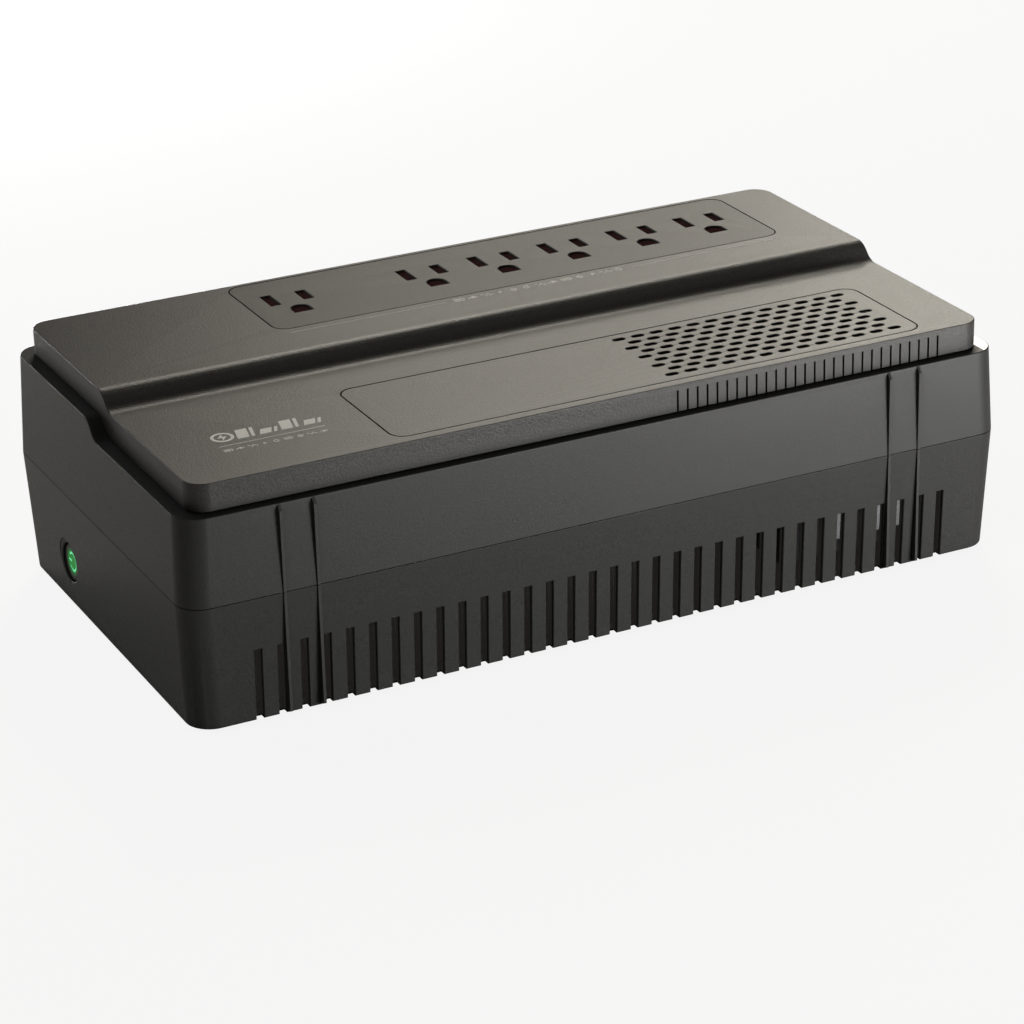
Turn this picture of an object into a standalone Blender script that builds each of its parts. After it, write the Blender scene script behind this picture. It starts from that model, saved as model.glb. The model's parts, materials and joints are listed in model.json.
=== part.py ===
"""Desktop uninterruptible power supply with six outlets, as an assembly of its separate parts.

Lengths in this file are millimetres. make_object() turns them into scene metres.
Frame: +Z up, origin on the desk under the middle of the case, -Y the long front side,
-X the end with the power button, +X the end where the supply cord goes in.
"""

import math

import bmesh
import bpy
from mathutils import Matrix, Vector

METRE = 0.001
GAP = 0.3
ROUND_ANGLE = math.radians(35)

# Case shells
BASE_Z = 2.0
SEAM_Z = 45.1
SEAM_HALF_X = 151.5
SEAM_HALF_Y = 79.4
CASE_CORNER = 9.7
LOWER_DRAFT = 0.044
UPPER_DRAFT = 0.041
BASE_CHAMFER = 0.6
WALL = 2.5
FLOOR_TOP = 4.5
LIP_WALL = 1.3
LIP_DEPTH = 3.6

# Facets of round shapes, and how far a cutter reaches past what it cuts
CORNER_STEPS = 5
HOLE_STEPS = 8
SCREW_STEPS = 10
POST_STEPS = 12
ROUND_STEPS = 16
FOOT_STEPS = 20
BUTTON_STEPS = 24
PAST = 1.0
FAR = 10.0

# Stepped rim of the upper housing, and the top cover that sits inside it
RIM_LOW = 75.2
RIM_HIGH = 81.1
RIM_STEP_Y = 1.8
LEDGE_OPENING = (-128.0, 128.0, -58.0, 66.5, 8.0)
COVER_X = 145.4
COVER_FRONT = -74.9
COVER_BACK = 74.1
COVER_CORNER = 7.1
COVER_LOW = 85.2
COVER_HIGH = 90.8
COVER_STEP_Y = -0.6
COVER_WALL = 2.2
STEP_SLOPE = math.radians(41)
STEP_RADIUS = 5.0
STEP_ARC_STEPS = 4

# Vertical ventilation slots in both long walls of the bottom shell
SLOT_COUNT = 33
SLOT_PITCH = 7.966
SLOT_WIDTH = 2.655
SLOT_TOP = 27.1
SLOT_INNER_Y = 74.9

# Thin upright fins on both long walls
FIN_X = (-117.6, -105.9, 105.9, 117.6)
FIN_WIDTH = 1.0
FIN_FACE_Y = 79.8
FIN_ROOT_Y = 76.9
FIN_CHAMFER = 1.9
FIN_BOTTOM = 2.4

# Panels let into the top cover
PANEL_X = (-73.4, 124.0)
OUTLET_PANEL_Y = (24.4, 71.6)
VENT_PANEL_Y = (-70.5, -23.9)
PANEL_CORNER = 5.2
PANEL_DEPTH = 2.5
FLANGE = 2.4
FLANGE_DEPTH = 1.5

# Receptacles
OUTLET_X = (-57.6, -5.8, 22.2, 50.2, 78.2, 106.2)
BLADE_Y = 52.8
BLADE_SPREAD = 6.35
BLADE_WIDTH = 3.5
NEUTRAL_LENGTH = 10.4
LINE_LENGTH = 8.7
EARTH_Y = 41.0
EARTH_RADIUS = 3.4
WELL_HALF_X = 11.5
WELL_FRONT = 7.0
WELL_BACK = 9.0
WELL_DEPTH = 11.0
CARRIER_TOP = 76.2
CARRIER_BOTTOM = 70.8
CARRIER_MARGIN = 13.0
CHANNEL_HALF = 2.5
CHANNEL_DEPTH = 3.4
STRIP_HALF = 2.0
STRIP_THICKNESS = 0.8
LEAF_THICKNESS = 0.6
LEAF_OFFSETS = (-3.0, 2.4)
BLADE_CONTACT_OFFSET = 5.0

# Vent holes in the vent panel: staggered rows of short slots
VENT_ROWS = 9
VENT_COLUMNS = 13
VENT_FIRST_X = 29.5
VENT_PITCH_X = 7.2
VENT_BACK_Y = -28.4
VENT_PITCH_Y = 4.63
VENT_HALF_LENGTH = 2.35
VENT_HALF_WIDTH = 1.1

# Fine slots in the front skirt of the cover
LIP_SLOT_COUNT = 28
LIP_SLOT_FIRST_X = 26.4
LIP_SLOT_PITCH = 3.737
LIP_SLOT_WIDTH = 0.7
LIP_SLOT_TOP = 83.2

# Feet and case screws
FOOT_PLACES = ((-125, -58), (125, -58), (125, 58), (-125, 58))
FOOT_RADIUS = 8.0
FOOT_TOP = 3.0
SCREW_PLACES = ((-139, -67), (139, -67), (139, 67), (-139, 67))
BOSS_RADIUS = 6.0
COUNTERBORE = 4.3
COUNTERBORE_TOP = 30.0
CLEARANCE_RADIUS = 2.3
PILOT_RADIUS = 2.0
PILOT_DEPTH = 17.0

# Power button in the left end wall
BUTTON_Y = 34.7
BUTTON_Z = 17.6
BUTTON_HOLE = 7.0
BUTTON_DISH = 8.0
BUTTON_FACE_X = -149.2
BUTTON_CAP = 6.6
BUTTON_SKIRT = 8.0
STEM_RADIUS = 1.1
STEM_LENGTH = 8.6
GUIDE_RADIUS = 5.0
SYMBOL_RADIUS = 3.1
SYMBOL_STROKE = 0.9
SYMBOL_OPENING = math.radians(45)
SLEEVE_RADIUS = 10.3
SLEEVE_BORE = 8.4
BUTTON_BOARD_HALF = 10.0
BUTTON_BOARD_BACK = 12.7
SWITCH_HALF = 3.0
SWITCH_HEIGHT = 3.4

# Recess in the right end wall with the cord gland and the circuit breaker
RECESS_X = 146.0
RECESS_Y = (12.0, 62.0)
RECESS_Z = (9.0, 35.0)
GLAND_Y = 50.0
BREAKER_Y = 26.0
RECESS_MID_Z = 22.0
GLAND_BORE = 3.9
GLAND_HOLE = 6.5
BREAKER_HOLE = 4.9
BREAKER_LENGTH = 24.0
BREAKER_NECK = 4.6
BREAKER_BORE = 3.1

# Battery, lying on its side
BATTERY_LOW = (-132.5, -72.0, 5.0)
BATTERY_HIGH = (18.5, 16.5, 70.0)
BATTERY_LID_Y = 22.0
TERMINAL_INSET = 10.0
TERMINAL_Z = 52.0
PAD_LENGTH = 50.0
PAD_WIDTH = 10.0
LEAD_RADIUS = 1.6
LEAD_SAMPLES = 6

# Transformer
CORE_X = (70.0, 116.0)
CORE_Y = (-68.0, 4.0)
CORE_Z = (8.0, 68.0)
CORE_LEG = 12.0
BOBBIN_WALL = 1.2
BOBBIN_FLANGE = 1.5
BOBBIN_SPREAD = 12.0
BRACKET_SHEET = 1.2
BRACKET_X = (73.0, 118.5)
BRACKET_LEG_X = ((88.0, 96.0), (104.5, 118.5))
BRACKET_LEG_END = 13.2
BRACKET_FOOT = 14.0
BRACKET_POST = 4.0
BRACKET_HOLE = 1.9

# Main board
BOARD_X = (-112.0, 95.0)
BOARD_Y = (32.0, 73.5)
BOARD_Z = (12.0, 13.6)
STANDOFF_INSET = 4.5
STANDOFF_RADIUS = 3.0
STANDOFF_HOLE = 1.4
PART_Z = BOARD_Z[1] + GAP
SINK_X = (-70.0, -20.0)
SINK_Y = 58.0
SINK_HEIGHT = 38.0
SINK_FINS = 6
SINK_FIN_WIDTH = 1.6

MATERIALS = {
    "case_plastic": ((0.045, 0.044, 0.042), 0.50, 0.0),
    "cover_plastic": ((0.060, 0.058, 0.053), 0.45, 0.0),
    "panel_plastic": ((0.055, 0.054, 0.051), 0.48, 0.0),
    "socket_plastic": ((0.020, 0.013, 0.012), 0.55, 0.0),
    "rubber": ((0.015, 0.015, 0.015), 0.85, 0.0),
    "steel": ((0.55, 0.55, 0.56), 0.35, 1.0),
    "brass": ((0.72, 0.55, 0.28), 0.30, 1.0),
    "copper": ((0.62, 0.26, 0.12), 0.35, 1.0),
    "aluminium": ((0.75, 0.76, 0.78), 0.40, 1.0),
    "green_light": ((0.10, 0.80, 0.35), 0.25, 0.0),
    "battery_plastic": ((0.10, 0.10, 0.11), 0.55, 0.0),
    "board_green": ((0.03, 0.16, 0.07), 0.45, 0.0),
    "black_plastic": ((0.02, 0.02, 0.02), 0.40, 0.0),
    "blue_plastic": ((0.03, 0.10, 0.40), 0.40, 0.0),
    "red_wire": ((0.50, 0.03, 0.02), 0.45, 0.0),
    "foam": ((0.05, 0.05, 0.05), 0.95, 0.0),
}


# Scene helpers


def clear_scene():
    for old in list(bpy.data.objects):
        bpy.data.objects.remove(old)


def material(name):
    """The named material, made once."""
    made = bpy.data.materials.get(name)
    if made:
        return made
    colour, roughness, metallic = MATERIALS[name]
    made = bpy.data.materials.new(name)
    made.use_nodes = True
    shader = made.node_tree.nodes["Principled BSDF"]
    shader.inputs["Base Color"].default_value = (*colour, 1.0)
    shader.inputs["Roughness"].default_value = roughness
    shader.inputs["Metallic"].default_value = metallic
    return made


def make_object(name, bm, material_name, origin=(0, 0, 0)):
    """An object in metres from a mesh in millimetres, with its origin at the given point."""
    bmesh.ops.recalc_face_normals(bm, faces=bm.faces)
    bmesh.ops.translate(bm, verts=bm.verts, vec=-Vector(origin))
    bmesh.ops.scale(bm, verts=bm.verts, vec=(METRE, METRE, METRE))
    mesh = bpy.data.meshes.new(name)
    bm.to_mesh(mesh)
    bm.free()
    mesh.materials.append(material(material_name))
    mesh.shade_smooth()
    mesh.set_sharp_from_angle(angle=ROUND_ANGLE)
    made = bpy.data.objects.new(name, mesh)
    made.location = Vector(origin) * METRE
    bpy.context.scene.collection.objects.link(made)
    return made


def as_tool(obj):
    """A shape that only cuts or joins others."""
    obj.hide_render = True
    obj.display_type = "WIRE"
    return obj


def combine(obj, operation, tool):
    """Boolean of obj with a tool: DIFFERENCE, UNION or INTERSECT."""
    step = obj.modifiers.new(operation.lower(), "BOOLEAN")
    step.operation = operation
    step.solver = "EXACT"
    step.use_self = operation == "UNION"
    step.object = as_tool(tool)
    return obj


# Mesh builders


def rounded_outline(x0, x1, y0, y1, radius, steps=CORNER_STEPS):
    """Points of a rectangle with round corners, counter-clockwise seen from above."""
    centres = (
        (x1 - radius, y0 + radius, -90),
        (x1 - radius, y1 - radius, 0),
        (x0 + radius, y1 - radius, 90),
        (x0 + radius, y0 + radius, 180),
    )
    points = []
    for cx, cy, start in centres:
        for i in range(steps + 1):
            angle = math.radians(start + 90 * i / steps)
            points.append((cx + radius * math.cos(angle), cy + radius * math.sin(angle)))
    return points


def add_loft(bm, loops):
    """Closed solid through a stack of loops that have the same number of points."""
    rings = [[bm.verts.new(point) for point in loop] for loop in loops]
    count = len(rings[0])
    for lower, upper in zip(rings, rings[1:]):
        for i in range(count):
            j = (i + 1) % count
            bm.faces.new((lower[i], lower[j], upper[j], upper[i]))
    bm.faces.new(reversed(rings[0]))
    bm.faces.new(rings[-1])


def add_box(bm, low, high):
    """Box between two corners."""
    outline = ((low[0], low[1]), (high[0], low[1]), (high[0], high[1]), (low[0], high[1]))
    add_loft(bm, [[(x, y, z) for x, y in outline] for z in (low[2], high[2])])


def add_plate(bm, outline, z0, z1):
    """Flat plate of a given outline."""
    add_loft(bm, [[(x, y, z) for x, y in outline] for z in (z0, z1)])


def along(axis, origin):
    """Matrix that turns a piece built along +Z to the given axis and moves it to its origin."""
    turn = Vector((0, 0, 1)).rotation_difference(Vector(axis)).to_matrix().to_4x4()
    return Matrix.Translation(Vector(origin)) @ turn


def add_turned(bm, profile, segments=ROUND_STEPS, axis=(0, 0, 1), origin=(0, 0, 0), bore=None):
    """Solid of revolution. profile lists (radius, height) upwards; bore is the radius of a hole."""
    place = along(axis, origin)
    loops = []
    for radius, height in profile:
        ring = []
        for i in range(segments):
            angle = 2 * math.pi * i / segments
            point = Vector((radius * math.cos(angle), radius * math.sin(angle), height))
            ring.append(place @ point)
        loops.append(ring)
    if bore is None:
        add_loft(bm, loops)
        return
    for height in (profile[-1][1], profile[0][1]):
        angles = [2 * math.pi * i / segments for i in range(segments)]
        loops.append([place @ Vector((bore * math.cos(a), bore * math.sin(a), height)) for a in angles])
    rings = [[bm.verts.new(point) for point in loop] for loop in loops]
    for lower, upper in zip(rings, rings[1:] + rings[:1]):
        for i in range(segments):
            j = (i + 1) % segments
            bm.faces.new((lower[i], lower[j], upper[j], upper[i]))


def box_object(name, low, high, material_name, origin=(0, 0, 0)):
    bm = bmesh.new()
    add_box(bm, low, high)
    return make_object(name, bm, material_name, origin)


def boxes_object(name, boxes, material_name):
    """One solid made of several overlapping boxes."""
    first, *others = boxes
    body = box_object(name, *first, material_name)
    if others:
        bm = bmesh.new()
        for low, high in others:
            add_box(bm, low, high)
        combine(body, "UNION", make_object(name + ".rest", bm, material_name))
    return body


def turned_object(
    name, profile, material_name, axis=(0, 0, 1), origin=(0, 0, 0), segments=ROUND_STEPS, bore=None
):
    bm = bmesh.new()
    add_turned(bm, profile, segments, axis, origin, bore)
    return make_object(name, bm, material_name, origin)


def tool_from(name, adder):
    """Tool object whose bodies the adder function puts into a mesh."""
    bm = bmesh.new()
    adder(bm)
    return make_object(name, bm, "steel")


# Case geometry


def case_half_sizes(z):
    """Outer half length and half width of the case at a height."""
    draft = LOWER_DRAFT if z < SEAM_Z else UPPER_DRAFT
    inset = draft * abs(SEAM_Z - z)
    return SEAM_HALF_X - inset, SEAM_HALF_Y - inset


def case_loop(z, inset=0.0):
    """Outline of the case at a height, moved inwards by inset."""
    half_x, half_y = case_half_sizes(z)
    half_x -= inset
    half_y -= inset
    outline = rounded_outline(-half_x, half_x, -half_y, half_y, CASE_CORNER - inset)
    return [(x, y, z) for x, y in outline]


def step_curve(low, high, middle_y):
    """Points of the S-shaped step, from the low front level to the high back level."""
    run = STEP_RADIUS * math.sin(STEP_SLOPE)
    rise = STEP_RADIUS * (1 - math.cos(STEP_SLOPE))
    slope_rise = high - low - 2 * rise
    slope_run = slope_rise / math.tan(STEP_SLOPE)
    start_y = middle_y - slope_run / 2 - run
    end_y = middle_y + slope_run / 2 + run
    points = []
    for i in range(STEP_ARC_STEPS + 1):
        angle = STEP_SLOPE * i / STEP_ARC_STEPS
        y = start_y + STEP_RADIUS * math.sin(angle)
        points.append((y, low + STEP_RADIUS * (1 - math.cos(angle))))
    for i in range(STEP_ARC_STEPS + 1):
        angle = STEP_SLOPE * (1 - i / STEP_ARC_STEPS)
        y = end_y - STEP_RADIUS * math.sin(angle)
        points.append((y, high - STEP_RADIUS * (1 - math.cos(angle))))
    return points


def stepped_block(name, bottom, low, high, middle_y, bottom_step=None):
    """Wide block whose top follows the step. bottom_step gives its underside a step too."""
    reach_x = 200.0
    reach_y = 120.0
    top = [(-reach_y, low), *step_curve(low, high, middle_y), (reach_y, high)]
    under = [(reach_y, bottom), (-reach_y, bottom)]
    if bottom_step:
        low_z, high_z, step_y = bottom_step
        under = [(reach_y, high_z), *reversed(step_curve(low_z, high_z, step_y)), (-reach_y, low_z)]
    profile = [*top, *under]
    bm = bmesh.new()
    add_loft(bm, [[(x, y, z) for y, z in profile] for x in (-reach_x, reach_x)])
    return make_object(name, bm, "steel")


def add_fins(bm, profile):
    """All fins of a shell, from the (y, z) outline of one of them."""
    for x in FIN_X:
        for side in (-1, 1):
            ends = (x - FIN_WIDTH / 2, x + FIN_WIDTH / 2)
            add_loft(bm, [[(end, side * y, z) for y, z in profile] for end in ends])


def make_bottom_shell():
    """Tub with slotted long walls, screw bosses and the seats of the inner parts."""
    top = SEAM_Z - GAP / 2
    floor = FLOOR_TOP - PAST
    bm = bmesh.new()
    add_loft(bm, [case_loop(BASE_Z, BASE_CHAMFER), case_loop(BASE_Z + BASE_CHAMFER), case_loop(top)])
    shell = make_object("bottom_shell", bm, "case_plastic")

    bm = bmesh.new()
    add_loft(bm, [case_loop(FLOOR_TOP, WALL), case_loop(SEAM_Z + WALL, WALL)])
    combine(shell, "DIFFERENCE", make_object("bottom_shell.cavity", bm, "steel"))

    def add_seats(bm):
        for x, y in SCREW_PLACES:
            add_turned(bm, [(BOSS_RADIUS, floor), (BOSS_RADIUS, top)], origin=(x, y, 0))
        for x, y in standoff_places():
            post = [(STANDOFF_RADIUS, floor), (STANDOFF_RADIUS, BOARD_Z[0] - GAP)]
            add_turned(bm, post, POST_STEPS, origin=(x, y, 0))
        for x, y in bracket_screw_places():
            post = [(BRACKET_POST, floor), (BRACKET_POST, CORE_Z[0] - GAP)]
            add_turned(bm, post, POST_STEPS, origin=(x, y, 0))
        inset = CORE_LEG / 2
        seat_low = (CORE_X[0] + inset, CORE_Y[0] + inset, floor)
        add_box(bm, seat_low, (CORE_X[1] - inset, CORE_Y[1] - inset, CORE_Z[0] - GAP))
        ends = (FIN_BOTTOM, top)
        add_fins(bm, [*((FIN_ROOT_Y, z) for z in ends), *((FIN_FACE_Y, z) for z in reversed(ends))])

    combine(shell, "UNION", tool_from("bottom_shell.seats", add_seats))
    wall_block = box_object(
        "bottom_shell.recess_block",
        (RECESS_X - WALL, RECESS_Y[0] - WALL, floor),
        (SEAM_HALF_X - WALL, RECESS_Y[1] + WALL, RECESS_Z[1] + WALL),
        "steel",
    )
    combine(shell, "UNION", wall_block)

    def add_slots(bm):
        for side in (-1, 1):
            y0, y1 = sorted((side * SLOT_INNER_Y, side * (SEAM_HALF_Y + FAR)))
            for i in range(SLOT_COUNT):
                x = (i - (SLOT_COUNT - 1) / 2) * SLOT_PITCH
                add_box(bm, (x - SLOT_WIDTH / 2, y0, -PAST), (x + SLOT_WIDTH / 2, y1, SLOT_TOP))

    def add_recess(bm):
        high = (SEAM_HALF_X + FAR, RECESS_Y[1], RECESS_Z[1])
        add_box(bm, (RECESS_X, RECESS_Y[0], RECESS_Z[0]), high)

    def add_holes(bm):
        for x, y in SCREW_PLACES:
            profile = [
                (COUNTERBORE, -PAST),
                (COUNTERBORE, COUNTERBORE_TOP),
                (CLEARANCE_RADIUS, COUNTERBORE_TOP),
                (CLEARANCE_RADIUS, SEAM_Z + PAST),
            ]
            add_turned(bm, profile, origin=(x, y, 0))
        for x, y in FOOT_PLACES:
            seat = [(FOOT_RADIUS + GAP, -PAST), (FOOT_RADIUS + GAP, FOOT_TOP + GAP)]
            add_turned(bm, seat, FOOT_STEPS, origin=(x, y, 0))
        for x, y in standoff_places():
            hole = [(STANDOFF_HOLE, FLOOR_TOP + PAST), (STANDOFF_HOLE, BOARD_Z[0] + PAST)]
            add_turned(bm, hole, HOLE_STEPS, origin=(x, y, 0))
        for x, y in bracket_screw_places():
            hole = [(BRACKET_HOLE, FLOOR_TOP + GAP), (BRACKET_HOLE, CORE_Z[0] + PAST)]
            add_turned(bm, hole, HOLE_STEPS, origin=(x, y, 0))

    def add_end_holes(bm):
        end = (-case_half_sizes(BUTTON_Z)[0], BUTTON_Y, BUTTON_Z)
        dish = [
            (BUTTON_HOLE, -WALL - FAR / 2),
            (BUTTON_HOLE, -0.4),
            (BUTTON_DISH, 0.1),
            (BUTTON_DISH, FAR),
        ]
        add_turned(bm, dish, BUTTON_STEPS, axis=(-1, 0, 0), origin=end)
        for radius, y in ((GLAND_HOLE, GLAND_Y), (BREAKER_HOLE, BREAKER_Y)):
            hole = [(radius, -WALL * 2), (radius, WALL * 2)]
            add_turned(bm, hole, BUTTON_STEPS, axis=(1, 0, 0), origin=(RECESS_X, y, RECESS_MID_Z))

    cuts = {"slots": add_slots, "recess": add_recess, "holes": add_holes, "end_holes": add_end_holes}
    for name, adder in cuts.items():
        combine(shell, "DIFFERENCE", tool_from("bottom_shell." + name, adder))


def make_upper_housing():
    """Upper half of the case: walls, stepped ledge that carries the cover, and screw posts."""
    bottom = SEAM_Z + GAP / 2
    beyond = RIM_HIGH + FAR
    bm = bmesh.new()
    add_loft(bm, [case_loop(bottom), case_loop(beyond)])
    housing = make_object("upper_housing", bm, "case_plastic")

    bm = bmesh.new()
    fin_top = RIM_LOW - GAP / 2
    wall = case_half_sizes(fin_top)[1]
    face = [(FIN_FACE_Y, bottom), (FIN_FACE_Y, fin_top - FIN_CHAMFER)]
    add_fins(bm, [*face, (wall, fin_top), (FIN_ROOT_Y, fin_top), (FIN_ROOT_Y, bottom)])
    combine(housing, "UNION", make_object("upper_housing.fins", bm, "steel"))
    combine(housing, "INTERSECT", stepped_block("upper_housing.top", 0, RIM_LOW, RIM_HIGH, RIM_STEP_Y))

    bm = bmesh.new()
    add_loft(bm, [case_loop(bottom - PAST, WALL), case_loop(beyond, WALL)])
    cavity = make_object("upper_housing.cavity", bm, "steel")
    under = stepped_block("upper_housing.under", 0, RIM_LOW - WALL, RIM_HIGH - WALL, RIM_STEP_Y)
    combine(cavity, "INTERSECT", under)
    combine(housing, "DIFFERENCE", cavity)

    bm = bmesh.new()
    add_plate(bm, rounded_outline(*LEDGE_OPENING), RIM_LOW - FAR, beyond)
    combine(housing, "DIFFERENCE", make_object("upper_housing.opening", bm, "steel"))

    bm = bmesh.new()
    inner_lip = WALL + GAP + LIP_WALL
    straight = [case_loop(z, WALL + GAP) for z in (SEAM_Z - LIP_DEPTH, bottom + GAP)]
    add_loft(bm, [*straight, case_loop(SEAM_Z + LIP_DEPTH, WALL - PAST)])
    lip = make_object("upper_housing.lip", bm, "steel")
    bm = bmesh.new()
    reach = LIP_DEPTH + PAST
    add_loft(bm, [case_loop(SEAM_Z - reach, inner_lip), case_loop(SEAM_Z + reach, inner_lip)])
    combine(lip, "DIFFERENCE", make_object("upper_housing.lip_hole", bm, "steel"))
    combine(housing, "UNION", lip)

    def add_posts(bm):
        for x, y in SCREW_PLACES:
            end = (RIM_LOW if y < 0 else RIM_HIGH) - WALL / 2
            add_turned(bm, [(BOSS_RADIUS - 1, bottom), (BOSS_RADIUS - 1, end)], origin=(x, y, 0))

    def add_pilots(bm):
        for x, y in SCREW_PLACES:
            pilot = [(PILOT_RADIUS, bottom - PAST), (PILOT_RADIUS, bottom + PILOT_DEPTH)]
            add_turned(bm, pilot, origin=(x, y, 0))

    combine(housing, "UNION", tool_from("upper_housing.posts", add_posts))
    combine(housing, "DIFFERENCE", tool_from("upper_housing.pilots", add_pilots))


def panel_outline(y_range, grow=0.0):
    return rounded_outline(
        PANEL_X[0] - grow, PANEL_X[1] + grow, y_range[0] - grow, y_range[1] + grow, PANEL_CORNER + grow
    )


def make_top_cover():
    """Stepped cover with a skirt, two panel openings and the fine slots of its front edge."""
    beyond = COVER_HIGH + FAR
    bm = bmesh.new()
    outline = rounded_outline(-COVER_X, COVER_X, COVER_FRONT, COVER_BACK, COVER_CORNER)
    add_plate(bm, outline, RIM_LOW - PAST, beyond)
    cover = make_object("top_cover", bm, "cover_plastic")
    seat = (RIM_LOW + GAP, RIM_HIGH + GAP, RIM_STEP_Y)
    combine(cover, "INTERSECT", stepped_block("top_cover.body", 0, COVER_LOW, COVER_HIGH, COVER_STEP_Y, seat))

    bm = bmesh.new()
    inner = rounded_outline(
        -COVER_X + COVER_WALL,
        COVER_X - COVER_WALL,
        COVER_FRONT + COVER_WALL,
        COVER_BACK - COVER_WALL,
        COVER_CORNER - COVER_WALL,
    )
    add_plate(bm, inner, RIM_LOW - FAR, beyond)
    cavity = make_object("top_cover.cavity", bm, "steel")
    under = stepped_block("top_cover.under", 0, COVER_LOW - COVER_WALL, COVER_HIGH - COVER_WALL, COVER_STEP_Y)
    combine(cavity, "INTERSECT", under)
    combine(cover, "DIFFERENCE", cavity)

    def add_openings(bm):
        for y_range, top in ((OUTLET_PANEL_Y, COVER_HIGH), (VENT_PANEL_Y, COVER_LOW)):
            add_plate(bm, panel_outline(y_range, GAP), top - COVER_WALL * 2, beyond)

    def add_lip_slots(bm):
        for i in range(LIP_SLOT_COUNT):
            x = LIP_SLOT_FIRST_X + LIP_SLOT_PITCH * i
            low = (x - LIP_SLOT_WIDTH / 2, COVER_FRONT - PAST, RIM_LOW - PAST)
            add_box(bm, low, (x + LIP_SLOT_WIDTH / 2, COVER_FRONT + COVER_WALL + GAP, LIP_SLOT_TOP))

    combine(cover, "DIFFERENCE", tool_from("top_cover.openings", add_openings))
    combine(cover, "DIFFERENCE", tool_from("top_cover.lip_slots", add_lip_slots))


def flanged_panel(name, y_range, top, flange_y):
    """Panel that fills its opening, with a wider flange under the cover."""
    bm = bmesh.new()
    add_plate(bm, panel_outline(y_range), top - PANEL_DEPTH - FLANGE_DEPTH / 2, top)
    panel = make_object(name, bm, "panel_plastic")
    bm = bmesh.new()
    flange_top = top - PANEL_DEPTH
    outline = rounded_outline(
        PANEL_X[0] - FLANGE, PANEL_X[1] + FLANGE, flange_y[0], flange_y[1], PANEL_CORNER
    )
    add_plate(bm, outline, flange_top - FLANGE_DEPTH, flange_top)
    return combine(panel, "UNION", make_object(name + ".flange", bm, "steel"))


def earth_outline(x):
    """D-shaped earth hole: flat towards the front, round towards the back."""
    radius = EARTH_RADIUS
    points = [(x - radius, EARTH_Y - radius), (x + radius, EARTH_Y - radius)]
    for i in range(HOLE_STEPS + 1):
        angle = math.pi * i / HOLE_STEPS
        points.append((x + radius * math.cos(angle), EARTH_Y + radius * math.sin(angle)))
    return points


def add_outlet_holes(bm, z0, z1):
    """Blade slots and earth holes of all receptacles."""
    half_width = BLADE_WIDTH / 2
    for x in OUTLET_X:
        for side, length in ((-1, NEUTRAL_LENGTH), (1, LINE_LENGTH)):
            cx = x + side * BLADE_SPREAD
            low = (cx - half_width, BLADE_Y - length / 2, z0)
            add_box(bm, low, (cx + half_width, BLADE_Y + length / 2, z1))
        add_plate(bm, earth_outline(x), z0, z1)


def make_outlet_panel():
    """Face plate of the receptacles, with a moulded well under each one."""
    flange_y = (OUTLET_PANEL_Y[0] - FLANGE, COVER_BACK - COVER_WALL - GAP)
    panel = flanged_panel("outlet_panel", OUTLET_PANEL_Y, COVER_HIGH, flange_y)
    top = COVER_HIGH - PANEL_DEPTH - FLANGE_DEPTH / 2

    def add_wells(bm):
        for x in OUTLET_X:
            low = (x - WELL_HALF_X, EARTH_Y - WELL_FRONT, top - WELL_DEPTH)
            add_box(bm, low, (x + WELL_HALF_X, BLADE_Y + WELL_BACK, top))

    combine(panel, "UNION", tool_from("outlet_panel.wells", add_wells))

    def add_holes(bm):
        add_outlet_holes(bm, CARRIER_TOP - PAST, COVER_HIGH + PAST)

    combine(panel, "DIFFERENCE", tool_from("outlet_panel.holes", add_holes))


def make_contact_carrier():
    """Moulded strip under the wells that holds the contact strips."""
    x0, x1 = OUTLET_X[0] - CARRIER_MARGIN, OUTLET_X[-1] + CARRIER_MARGIN
    carrier = box_object(
        "contact_carrier",
        (x0, EARTH_Y - WELL_FRONT - PAST, CARRIER_BOTTOM),
        (x1, BLADE_Y + WELL_BACK + 3 * PAST, CARRIER_TOP),
        "black_plastic",
    )
    strips = {
        "earth_strip": EARTH_Y,
        "line_strip": BLADE_Y - BLADE_CONTACT_OFFSET,
        "neutral_strip": BLADE_Y + BLADE_CONTACT_OFFSET,
    }
    inset = 2.0

    def add_channels(bm):
        for y in strips.values():
            low = (x0 + inset, y - CHANNEL_HALF, CARRIER_TOP - CHANNEL_DEPTH)
            add_box(bm, low, (x1 - inset, y + CHANNEL_HALF, CARRIER_TOP + PAST))

    combine(carrier, "DIFFERENCE", tool_from("contact_carrier.channels", add_channels))
    bottom = CARRIER_TOP - CHANNEL_DEPTH + GAP
    for name, y in strips.items():
        low = (x0 + inset + PAST, y - STRIP_HALF, bottom)
        make_contact_strip(name, low, (x1 - inset - PAST, y + STRIP_HALF, bottom + STRIP_THICKNESS))


def make_contact_strip(name, low, high):
    """Brass strip with a pair of upright contact leaves under each receptacle."""
    boxes = [(low, high)]
    for x in OUTLET_X:
        for offset in LEAF_OFFSETS:
            leaf_low = (x + offset, low[1], low[2] + STRIP_THICKNESS / 4)
            boxes.append((leaf_low, (x + offset + LEAF_THICKNESS, high[1], CARRIER_TOP - GAP)))
    boxes_object(name, boxes, "brass")


def vent_places():
    """Centres of the vent holes, row by row from the back."""
    places = []
    for row in range(VENT_ROWS):
        short = row % 2
        for column in range(VENT_COLUMNS - short):
            x = VENT_FIRST_X + VENT_PITCH_X * (column + short / 2)
            places.append((x, VENT_BACK_Y - VENT_PITCH_Y * row))
    return places


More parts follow.
